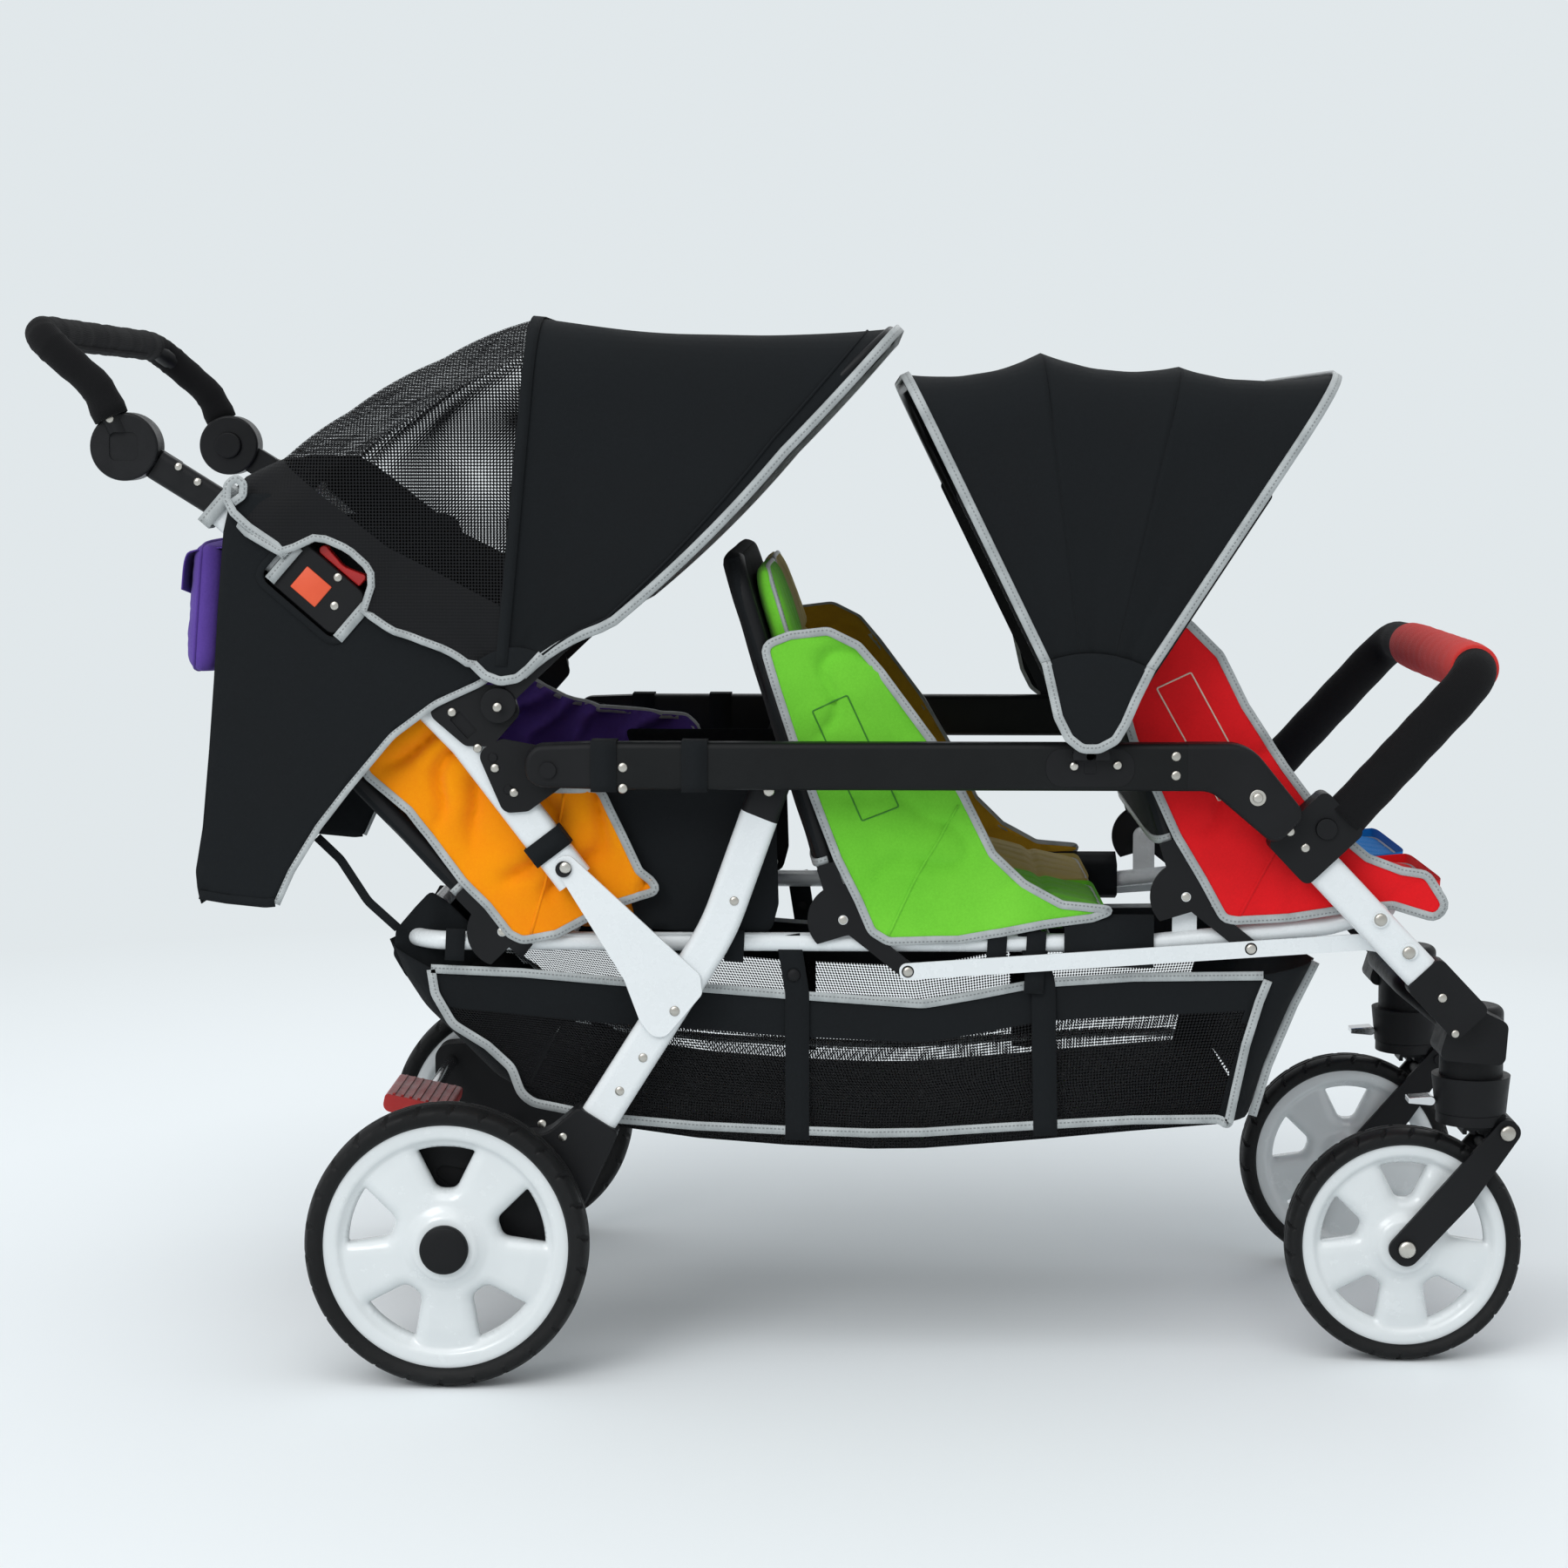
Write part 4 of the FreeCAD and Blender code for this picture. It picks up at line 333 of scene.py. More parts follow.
def slab(name, outline, near_y, far_y, made, body, edge=0.001):
    """A flat moulded piece on each side, from an outline of (x, z) places."""
    shape = bmesh.new()
    for side in (-1, 1):
        rings = [[shape.verts.new(put(x, side * y, z)) for x, z in outline] for y in (near_y, far_y)]
        for i in range(len(outline)):
            shape.faces.new((rings[0][i - 1], rings[0][i], rings[1][i], rings[1][i - 1]))
        shape.faces.new(rings[0])
        shape.faces.new(rings[1])
    bmesh.ops.recalc_face_normals(shape, faces=shape.faces)
    mesh = bpy.data.meshes.new(name)
    shape.to_mesh(mesh)
    shape.free()
    mesh.materials.append(made)
    obj = collected(name, mesh)
    bevel = obj.modifiers.new("edge", "BEVEL")
    bevel.width = edge
    bevel.segments = 3
    applied(obj)
    obj.data.shade_smooth()
    obj.data.set_sharp_from_angle(angle=math.radians(40))
    return belongs(obj, body)


def along(start, end, distance, rise=0.0):
    """A place (x, z) on the way from start to end, and its rise square to that way."""
    reach = math.dist(start, end)
    step = ((end[0] - start[0]) / reach, (end[1] - start[1]) / reach)
    (x, z), (a, c) = start, step
    return (x + a * distance - c * rise, z + c * distance + a * rise)


lock_place, collar_end = (-125.0, 827.0), (-245.0, 931.0)


def lock_at(distance, rise):
    """A place (x, z) from the middle of the fold lock, along the push tube and above it."""
    return along(lock_place, collar_end, distance, rise)


lock_panel = [lock_at(a, b) for a, b in ((6, -14), (40, -14), (40, 14), (6, 14))]
slab("lock_panels", lock_panel, 289, 291.2, panel_red, "push_frame", 0.0012)

# Handle: a bent black tube with cap discs at the hubs, and a foam grip in a fabric cover
# that is wrapped over the bends and stitched along the inside of the cross part.
dressed("handle_bar", tube_black, 0.0012)
dressed("hub_button_left", nylon_black, 0.0010)
dressed("hub_button_right", nylon_black, 0.0010)


def rounded(points, radius, step=6.0):
    """A line of Vectors with an arc at each inner corner, all in millimetres."""
    points = [Vector(point) for point in points]
    line = [points[0]]
    for i in range(1, len(points) - 1):
        here = points[i]
        back, ahead = (points[i - 1] - here), (points[i + 1] - here)
        size = radius[i] if isinstance(radius, (list, tuple)) else radius
        half = back.angle(ahead) / 2
        if size <= 0 or half > math.radians(89.5):
            line.append(here)
            continue
        reach = min(size / math.tan(half), back.length * 0.49, ahead.length * 0.49)
        back.normalize()
        ahead.normalize()
        turn = math.pi - 2 * half
        steps = max(3, int(turn * size / step))
        start, end = here + back * reach, here + ahead * reach
        for k in range(steps + 1):
            t = k / steps
            line.append(start * (1 - t) ** 2 + here * 2 * t * (1 - t) + end * t ** 2)
    line.append(points[-1])
    dense = [line[0]]
    for a, b in zip(line, line[1:]):
        parts = max(1, int((b - a).length / (step * 2)))
        dense += [a.lerp(b, (k + 1) / parts) for k in range(parts)]
    return dense


def bent(points, radius, step=5):
    """A rounded line as plain places."""
    return [tuple(point) for point in rounded(points, radius, step)]


def distances(line):
    """Metres from the start of a line of millimetre places to each of them."""
    steps = np.diff(np.array([tuple(place) for place in line], float), axis=0)
    return np.concatenate([[0], np.cumsum(np.linalg.norm(steps, axis=1))]) / 1000


def mesh_of(name, places, faces, made):
    """A smooth mesh from millimetre places and faces."""
    world = (np.array([tuple(place) for place in places], float) - (middle_x, 0, 0)) / 1000
    mesh = bpy.data.meshes.new(name)
    mesh.from_pydata(world.tolist(), [], [list(face) for face in faces])
    mesh.materials.append(made)
    mesh.shade_smooth()
    return collected(name, mesh)


def lattice(rows, wide, ring=False, closed=False):
    """Quads between rows of places; a row may be a ring, and the last row may join the first."""
    index = np.arange(rows * wide).reshape(rows, wide)
    if ring:
        index = np.hstack([index, index[:, :1]])
    if closed:
        index = np.vstack([index, index[:1]])
    return np.stack([index[:-1, :-1], index[:-1, 1:], index[1:, 1:], index[1:, :-1]], -1).reshape(-1, 4)


def lattice_map(obj, u, v):
    """A UV map for a mesh that begins with a lattice, from the distances along both its ways."""
    i, j = (part.ravel() for part in np.meshgrid(np.arange(len(u) - 1), np.arange(len(v) - 1)))
    corners = [(u[i], v[j]), (u[i + 1], v[j]), (u[i + 1], v[j + 1]), (u[i], v[j + 1])]
    quads = np.stack([np.stack(corner, -1) for corner in corners], 1).ravel()
    flat = np.zeros(2 * len(obj.data.loops))
    flat[:len(quads)] = quads
    obj.data.uv_layers.new(name="UVMap").data.foreach_set("uv", flat)


def swept(name, path, section, made, up=None, size_at=None, closed=False):
    """A skin carried along a line of millimetre places; the section is (side, up) places."""
    path = [Vector(point) for point in path]
    count, wide = len(path), len(section)
    u, v = distances(section + section[:1]), distances(path + path[:1] if closed else path)
    ups = up if isinstance(up, list) else [Vector(up) if up is not None else None] * count
    last, spots = None, []
    for i, point in enumerate(path):
        before, after = path[max(i - 1, 0)], path[min(i + 1, count - 1)]
        if closed:
            before, after = path[i - 1], path[(i + 1) % count]
        way = (after - before).normalized()
        over = ups[i] if ups[i] is not None else last
        if over is None:
            over = Vector((0, 0, 1)) if abs(way.z) < 0.9 else Vector((1, 0, 0))
        side = way.cross(over).normalized()
        last = over = side.cross(way).normalized()
        scale = size_at(v[i] / v[count - 1], i) if size_at else 1.0
        spots += [point + (side * a + over * b) * scale for a, b in section]
    faces = lattice(count, wide, True, closed).tolist()
    ends = [] if closed else [list(range(wide)), list(range(len(spots) - wide, len(spots)))[::-1]]
    obj = mesh_of(name, spots, faces + ends, made)
    for face in obj.data.polygons[len(faces):]:
        face.use_smooth = False
    lattice_map(obj, u, v)
    with editing(obj.data) as shape:
        bmesh.ops.recalc_face_normals(shape, faces=shape.faces)
    return obj


def ring_section(radius, count=16, other=None):
    """A round or oval section."""
    turns = [math.tau * k / count for k in range(count)]
    return [(radius * math.cos(turn), (other or radius) * math.sin(turn)) for turn in turns]


def cloth_finish(name, dark, light, pitch=0.0012, depth=0.0002, sheen=0.25, rough=(0.75, 0.9), where="UV"):
    """Woven cloth: crossed threads on the piece's own map, creased in broad patches that also darken the
    colour where the bump is low, as painted shade in the creases.
    """
    plain = {"Sheen Weight": sheen, "Sheen Roughness": 0.5, "Specular IOR Level": 0.12}
    made = new_material(name, light, rough[0], 0.0, plain)
    places = add(made, "ShaderNodeTexCoord")
    split = add(made, "ShaderNodeSeparateXYZ", {0: places.outputs[where]})
    warp = waves(made, split.outputs[0], pitch)
    weft = waves(made, split.outputs[1 if where == "UV" else 2], pitch)
    weave = spread(made, times(made, warp, weft), 0, 1, -1, 1)
    solid = places.outputs["Object"]
    patches = cloudy(made, solid, 9.0, 4.0)
    lint = cloudy(made, solid, 420.0, 2.0)
    # The patches darken the cloth where they press its bump down: painted crease shade, along with random
    # tone.
    tone = plus(made, times(made, weave, 0.35), times(made, patches, 0.45))
    tone = plus(made, tone, times(made, lint, 0.2))
    colour = blend_colour(made, spread(made, tone, 0, 1, 0.25, 0.75), (*dark, 1), (*light, 1))
    height = plus(made, weave, times(made, patches, 1.5))
    return shade(made, colour, spread(made, patches, *rough, 0.35, 0.65), height, depth)


foam_black = cloth_finish(
    "foam_cover_black", (0.004, 0.004, 0.0045), (0.01, 0.01, 0.011), 0.0016, 0.00035, 0.03, (0.85, 0.95),
    "Object")
handle_line = [(-351.6, 285.5, 1019.5), (-366, 285.5, 1052), (-432, 285.5, 1110)]
handle_line += [(x, -y, z) for x, y, z in reversed(handle_line)]
handle_run = rounded(handle_line, [0, 62, 62, 62, 62, 0], 5.0)


def grip_size(share, i):
    """The grip is fuller where its cover gathers and drawn in at its two ends."""
    end = min(share, 1 - share)
    cuff = 1.06 if end < 0.022 else 1.0
    gather = 0.035 * math.sin(i * 1.9) * math.sin(i * 0.53)
    return cuff + gather + 0.02 * math.sin(share * 60)


grip = swept("handle_grip_cover", handle_run, ring_section(17.4, 28), foam_black, None, grip_size)
belongs(grip, "handle", "handle_grip")
third = len(handle_run) // 3
cover_seam = [point + Vector((12.0, 0, -13.4)) for point in handle_run[third:-len(handle_run) // 3]]
seam_line = swept("handle_cover_seam", cover_seam, ring_section(2.2, 8), foam_black)
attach(seam_line, "handle")
rivet_heads("handle_rivets", "handle", [(-351, 296.6, 1018, 4.2)])

# Gussets and legs: white pressed link plates and white oblong tubes, riveted to each other and
# to the moulded axle housings, which hold the steel axle and the chrome brake bar.
dressed("gusset_plates", frame_white, 0.0009)
legs = dressed("rear_legs", frame_white)
cap_foot, cap_way = put(326, 0, 600), Vector((0.37, 0, 0.93))
with editing(legs.data) as shape:
    whole = shape.verts[:] + shape.edges[:] + shape.faces[:]
    bmesh.ops.bisect_plane(shape, geom=whole, plane_co=cap_foot, plane_no=cap_way)
    for face in shape.faces:
        if (face.calc_center_median() - cap_foot).dot(cap_way) > 0:
            face.material_index = 1
legs.data.materials.append(nylon_black)
dressed("axle_housings", nylon_black, 0.0010)
chrome = hard_finish(
    "bright_chrome", (0.6, 0.61, 0.62), (0.72, 0.73, 0.74), (0.08, 0.16), 900.0, 0.00002, 1.0)
dressed("rear_axle", chrome, 0.0)
rivet_heads("gusset_rivets", "gussets", [(239, 289.5, 393, 5.6)])
rivet_heads("push_pivot_rivets", "push_frame", [(124, 292.7, 546, 6.4)])
rivet_heads("leg_rivets", "rear_frame", [
    (302, 285, 510, 5.0), (205, 285, 342, 5.0), (180, 285, 306, 5.0), (98, 292, 272, 4.6),
    (120, 292, 258, 4.6), (60, 292, 190, 5.0),
])

# Brake: a red rocker pedal with moulded ribs, clamped round the chrome bar; its plastic is
# mottled and a little shiny on the ribs.
pedal_red = hard_finish("pedal_red", (0.3, 0.012, 0.012), (0.5, 0.02, 0.018), (0.28, 0.5), 1300.0, 0.00015)
dressed("brake_pedal", pedal_red, 0.0012)

# Wheels: glossy white five spoke rims with sunk windows between broad rounded spokes, black
# caps on the rear ones, and solid rubber tyres with blocks moulded on their shoulders.
rim_white = hard_finish(
    "rim_white", (0.64, 0.675, 0.685), (0.69, 0.725, 0.735), (0.16, 0.3), 500.0, 0.00004,
    plain={"Coat Weight": 0.3})
tyre_black = hard_finish(
    "tyre_rubber", (0.005, 0.0052, 0.0055), (0.011, 0.0115, 0.012), (0.45, 0.65), 900.0, 0.00025, plain=satin)


def mapped(obj, maps):
    """A UV map from one place for each of the mesh's points."""
    uv = obj.data.uv_layers.new(name="UVMap")
    points = np.zeros(len(obj.data.loops), int)
    obj.data.loops.foreach_get("vertex_index", points)
    uv.data.foreach_set("uv", np.array(maps)[points].ravel())


def loop_of(points, radii, step=1.5):
    """A closed outline of (x, z) places with rounded corners."""
    points = [Vector(point) for point in points]
    start = (points[0] + points[-1]) / 2
    return bent([start] + points + [start], [0] + list(radii) + [0], step)[:-1]


def inside(spots, loop):
    """Which of the spots lie inside a closed outline."""
    loop = np.asarray(loop)
    x, z = spots[:, 0], spots[:, 1]
    found = np.zeros(len(spots), bool)
    for (x1, z1), (x2, z2) in zip(loop, np.roll(loop, -1, axis=0)):
        if z1 != z2:
            found ^= ((z1 > z) != (z2 > z)) & (x < (x2 - x1) * (z - z1) / (z2 - z1) + x1)
    return found


def nearness(spots, loop):
    """Distance of each spot from an outline's places."""
    return np.sqrt(((spots[:, None, :] - np.asarray(loop)[None, :, :]) ** 2).sum(2)).min(1)


def filled(outer, holes, free):
    """Triangles between an outline and its holes, through free places."""
    spots, edges = [], []
    for loop in [outer] + holes:
        start, count = len(spots), len(loop)
        spots += [tuple(spot) for spot in loop]
        edges += [(start + i, start + (i + 1) % count) for i in range(count)]
    spots += [tuple(spot) for spot in free]
    flat = [Vector(spot) for spot in spots]
    places, _, faces, *_ = delaunay_2d_cdt(flat, edges, [], 0, 0.00001)
    places = np.array([tuple(place) for place in places])
    faces = np.array([list(face) for face in faces])
    middles = places[faces].mean(1)
    keep = inside(middles, outer)
    for hole in holes:
        keep &= ~inside(middles, hole)
    return places, faces[keep]


def rim_pattern(radius, seat):
    """The rim's face in its own plane: places, faces and distance from the windows."""
    scale = radius / 150
    windows = []
    for i in range(5):
        middle = math.radians(72 * i - 54)
        polar = [(radius * 0.695, 0.295 * k / 6) for k in range(-6, 7)]
        polar += [(radius * 0.40, 0.17), (radius * 0.40, -0.17)]
        points = [(r * math.cos(middle + a), r * math.sin(middle + a)) for r, a in polar]
        radii = [5 * scale] + [0] * 11 + [5 * scale] + [12 * scale, 12 * scale]
        windows.append(loop_of(points, radii))
    outer = ring_section(seat, 180)
    free = []
    for r in np.arange(4, seat - 1, 2.6):
        count = max(8, int(math.tau * r / 3.2))
        turns = [math.tau * (k + 0.5 * (int(r) % 2)) / count for k in range(count)]
        free += [(r * math.cos(turn), r * math.sin(turn)) for turn in turns]
    free = np.array(free)
    near = np.min([nearness(free, window) for window in windows], axis=0)
    free = free[near > 3.4]
    for window in windows:
        free = free[~inside(free, window)]
        centre = np.mean(window, axis=0)
        size = np.mean(np.linalg.norm(np.array(window) - centre, axis=1))
        for grow in (0.8, 1.9, 3.2):
            free = np.vstack([free, centre + (np.array(window) - centre) * (1 + grow / size)])
    places, faces = filled(outer, windows, free)
    away = np.min([nearness(places, window) for window in windows], axis=0)
    return places, faces, away


def rim_height(radius, half, hub_face, places, away):
    """Half thickness of the rim: hub, rounded spokes and the raised flange."""
    share = np.linalg.norm(places, axis=1) / radius
    stops = [0, 0.15, 0.215, 0.245, 0.30, 0.42, 0.60, 0.70, 0.735, 0.765, 0.84, 0.87]
    levels = [hub_face, hub_face, hub_face - 1]
    levels += [half * part for part in (0.86, 0.7, 0.64, 0.6, 0.52, 0.5, 0.7, 0.72, 0.66)]
    top = np.interp(share, stops, levels)
    lip, round_over = 2.6, 15
    curve = np.clip(away / round_over, 0, 1)
    return lip + (top - lip) * np.sqrt(1 - (1 - curve) ** 2)


def rim(name, pattern, radius, half, hub_face, centre, body, node):
    """One rim: the patterned face twice, joined along its edges."""
    places, faces, away = pattern
    height = rim_height(radius, half, hub_face, places, away)
    x, y, z = centre
    count = len(places)
    spots = [(x + a, y + s * h, z + b) for s in (1, -1) for (a, b), h in zip(places, height)]
    skins = [tuple(face) for face in faces] + [tuple(count + i for i in face)[::-1] for face in faces]
    seen = {}
    for face in faces:
        for a, b in zip(face, np.roll(face, -1)):
            seen.setdefault((min(a, b), max(a, b)), []).append((a, b))
    rims = [ways[0] for ways in seen.values() if len(ways) == 1]
    skins += [(b, a, a + count, b + count) for a, b in rims]
    obj = mesh_of(name, spots, skins, rim_white)
    with editing(obj.data) as shape:
        bmesh.ops.recalc_face_normals(shape, faces=shape.faces)
    obj.data.set_sharp_from_angle(angle=math.radians(50))
    belongs(obj, body, node)


def turned(name, profile, centre, made, steps=96, change=None):
    """A shape turned about the Y axis from (radius, y) places, closed at its ends."""
    x, y, z = centre
    spots = []
    for i in range(steps):
        turn = math.tau * i / steps
        for r, side in profile:
            r, side = change(turn, r, side) if change else (r, side)
            spots.append((x + r * math.cos(turn), y + side, z + r * math.sin(turn)))
    obj = mesh_of(name, spots, lattice(steps, len(profile), True, True), made)
    with editing(obj.data) as shape:
        bmesh.ops.remove_doubles(shape, verts=shape.verts, dist=0.000005)
        bmesh.ops.recalc_face_normals(shape, faces=shape.faces)
    obj.data.set_sharp_from_angle(angle=math.radians(38))
    return obj


def tyre(name, radius, half, centre, body, node):
    """One tyre, with cuts across both shoulders."""
    side = [
        (0.862, 0.70), (0.878, 0.84), (0.90, 0.93), (0.915, 0.955), (0.93, 1.0), (0.95, 0.985),
        (0.963, 0.95), (0.973, 0.88), (0.982, 0.78), (0.99, 0.66), (0.996, 0.52), (1.0, 0.3),
        (0.986, 0.26), (0.986, 0.14), (1.0, 0.11),
    ]
    profile = [(radius * r, -half * y) for r, y in side] + [(radius * r, half * y) for r, y in reversed(side)]
    blocks, slant = 26, 0.32

    def cut(turn, r, y):
        share, reach = abs(y) / half, r / radius
        phase = (turn / math.tau * blocks + slant * share * (1 if y > 0 else -1)) % 1
        if reach > 0.94 and share > 0.3 and phase < 0.13:
            return r - radius * 0.017, y * 0.97
        if 0.925 < reach <= 0.955 and 0.13 <= phase < 0.5:
            return r, y * 0.975
        return r, y

    obj = turned(name, profile, centre, tyre_black, 520, cut)
    belongs(obj, body, node)


wheels = {
    "rear": (150, 24, (0, 320, 150), 130.5, 25.5),
    "front": (127, 22, (1024, 200, 127), 110.5, 23.5),
}
cap_profile = [(0, 25), (25.5, 25), (25.5, 31), (24.6, 32.8), (22.5, 33.8), (14, 34.2), (0, 34.4)]
for end, (radius, half, (x, y, z), seat, hub_face) in wheels.items():
    pattern = rim_pattern(radius, seat)
    for side, side_y in both_sides:
        centre, body = (x, y * side_y, z), "%s_wheel_%s" % (end, side)
        rim_name, tyre_name = "%s_rim_%s" % (end, side), "%s_tyre_%s" % (end, side)
        rim(rim_name + "_dish", pattern, radius, half, hub_face, centre, body, rim_name)
        tyre(tyre_name + "_blocks", radius, half, centre, body, tyre_name)
        if end == "rear":
            profile = [(r, out * side_y) for r, out in cap_profile]
            belongs(turned("rear_cap_" + side, profile, centre, nylon_black), body)

# Front legs: flat white tubes bolted to the elbows of the rails, with moulded black sockets
# for the bumper and moulded feet that hold the swivel housings.
dressed("front_legs", frame_white)
for node in (
    "bumper_sockets", "caster_mounts", "caster_crown_left", "caster_crown_right", "caster_fork_left",
    "caster_fork_right",
):
    dressed(node, nylon_black, 0.0014)
dressed("bumper_button_left", nylon_black)
dressed("bumper_button_right", nylon_black)
dressed("swivel_locks", chrome, 0.0006)
for side, side_y in both_sides:
    bolts = [(1024, 235, 127, 9.5), (1130, 234, 254, 8.5)]
    rivet_heads("fork_bolts_" + side, "fork_" + side, bolts, (side_y,))
rivet_heads("front_leg_rivets", "front_frame", [
    (982, 288.1, 493, 7.0), (1012, 288.1, 458, 7.0), (1048, 287.2, 410, 5.0), (1062, 287.2, 372, 4.2),
])
rivet_heads("socket_rivets", "front_frame", [(886, 290, 586, 4.8), (902, 290, 569, 4.8)])

# Bumper: a bent steel bar in black foam sleeves, with a red padded wrap closed round its
# middle by a seam underneath. The wrap and the near sleeve reach past the middle as photographed.
bar_steel = hard_finish(
    "bumper_steel", (0.3, 0.3, 0.3), (0.42, 0.42, 0.42), (0.25, 0.35), 900.0, 0.00004, 1.0)
bar_line = [(938, 273, 592), (1086, 273, 754), (1086, -273, 754), (938, -273, 592)]
bar_line = rounded(bar_line, [0, 48, 48, 0], 5)
bumper_steel = swept("bumper_steel", bar_line, ring_section(9.9, 20), bar_steel)
belongs(bumper_steel, "bumper", "bumper_bar")


def sleeve_size(share, _):
    """A foam sleeve, a little uneven, with a lip at its lower end."""
    return 1 + 0.012 * math.sin(share * 47) + (0.03 if share < 0.02 else 0)


def wrap_size(share, _):
    """The wrap: drawn in at its ends and its middle seam, with soft creases."""
    ends = 0.1 * min(1, 14 * min(share, 1 - share)) ** 0.5
    creases = 0.012 * math.sin(share * 71) + 0.008 * math.sin(share * 33 + 1)
    return 0.9 + ends - 0.02 * math.exp(-((share - 0.5) * 60) ** 2) + creases


sleeve_ends = {1: 90, -1: -180}
for side, side_y in both_sides:
    line = [(944, 273 * side_y, 598.8), (1086, 273 * side_y, 754), (1086, sleeve_ends[side_y], 754)]
    line = rounded(line, [0, 48, 0], 4)
    sleeve = swept("bumper_sleeve_" + side, line, ring_section(23.2, 28), foam_black, None, sleeve_size)
    belongs(sleeve, "bumper")
wrap_red = cloth_finish("wrap_red", (0.5, 0.026, 0.024), (0.78, 0.06, 0.052), 0.0011, 0.0002, 0.08)
wrap_line = [(1086, 150 - 392 * k / 78, 754) for k in range(79)]
wrap = swept("bumper_wrap_cloth", wrap_line, ring_section(27.2, 40), wrap_red, None, wrap_size)
belongs(wrap, "bumper", "bumper_wrap")
hem_line = [(1086, 146 - 358 * k / 40, 754 - 26.6) for k in range(41)]
wrap_hem = swept("bumper_wrap_seam", hem_line, ring_section(1.8, 8), wrap_red)
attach(wrap_hem, "bumper")

# Seat frame: a bent white tube under all three rows, and a bent tube for each back on black
# half moon brackets; flat white bars tie the backs' cranks together.
dressed("seat_frame", frame_white, 0.0)
row_hinges = {"rear": (53, 472), "middle": (417, 486), "front": (781, 512)}
row_angles = {"rear": 134, "middle": 107, "front": 107}
nylon_from = {"rear": 0.025, "middle": 0.066, "front": 0.066}
bracket_face = 0.25295
for row, (x, z) in row_hinges.items():
    turn, hinge = math.radians(row_angles[row]), put(x, 0, z)
    back = dressed(row + "_back_frame", frame_white, 0.0004)
    if row == "rear":
        with editing(back.data) as shape:
            whole = shape.verts[:] + shape.edges[:] + shape.faces[:]
            cut = bmesh.ops.bisect_plane(
                shape, geom=whole, plane_co=put(80, 0, 451), plane_no=(0.786, 0, -0.618), clear_outer=True)
            rim_edges = [item for item in cut["geom_cut"] if isinstance(item, bmesh.types.BMEdge)]
            bmesh.ops.holes_fill(shape, edges=rim_edges)
    back.data.materials.append(nylon_black)
    for face in back.data.polygons:
        rise = (face.center - hinge).dot(Vector((math.cos(turn), 0, math.sin(turn))))
        if abs(face.center.y) > bracket_face or rise > nylon_from[row]:
            face.material_index = 1
dressed("link_bars", frame_white, 0.0005)
for row, (hinge_x, hinge_z) in row_hinges.items():
    rivet_heads(row + "_hinge_rivets", row + "_back", [(hinge_x, 257.2, hinge_z, 5.2)])
rivet_heads("link_rivets", "links", [(486, 260.4, 431, 5.4), (850, 260.4, 457, 5.4)])

# Seat cushions and back pads: padded cloth boxes, quilted in channels along their length, each
# sewn with a cord of piping round its edge. Near and far seats differ in colour.
def seat_cloth(colour, dark, light):
    """The seats' canvas, with its colour's name."""
    return colour, cloth_finish("cloth_" + colour, dark, light, 0.0011, 0.00022, 0.08)


seat_cloths = {
    ("rear", -1): seat_cloth("orange", (0.9, 0.2, 0.0006), (1.0, 0.38, 0.0012)),
    ("rear", 1): seat_cloth("purple", (0.066, 0.03, 0.21), (0.145, 0.078, 0.42)),
    ("middle", -1): seat_cloth("green", (0.1, 0.46, 0.018), (0.24, 0.76, 0.06)),
    # The far middle yellow cloth, made dark brown as painted shade because its wing's inner side lies in
    # shade; its pads take a paler lit copy below.
    ("middle", 1): seat_cloth("yellow", (0.42, 0.22, 0.01), (0.7, 0.4, 0.03)),
    ("front", -1): seat_cloth("red", (0.58, 0.006, 0.009), (0.93, 0.014, 0.02)),
    ("front", 1): seat_cloth("blue", (0.004, 0.12, 0.42), (0.012, 0.26, 0.72)),
}


def eased(share, power):
    """From 0 at an edge to 1 over most of the width, steep at the edge."""
    return (1 - abs(2 * share - 1) ** power) ** (1 / 2.4) if 0 < share < 1 else 0.0


def sloped(share):
    """Share of a pad's slope towards its front edge."""
    t = min(max((share - 0.4) / 0.6, 0), 1)
    return t * t * (3 - 2 * t)


def crowded(steps):
    """Shares from 0 to 1, closer together at both ends."""
    shares = [0.5 - 0.5 * math.cos(math.pi * k / steps) for k in range(steps + 1)]
    return [0.55 * share + 0.45 * k / steps for k, share in enumerate(shares)]


def squared(turn, power_across, power_up):
    """A place at a turn on a round, swollen to a square with soft corners."""
    c, s = math.cos(turn), math.sin(turn)
    return math.copysign(abs(c) ** power_across, c), math.copysign(abs(s) ** power_up, s)


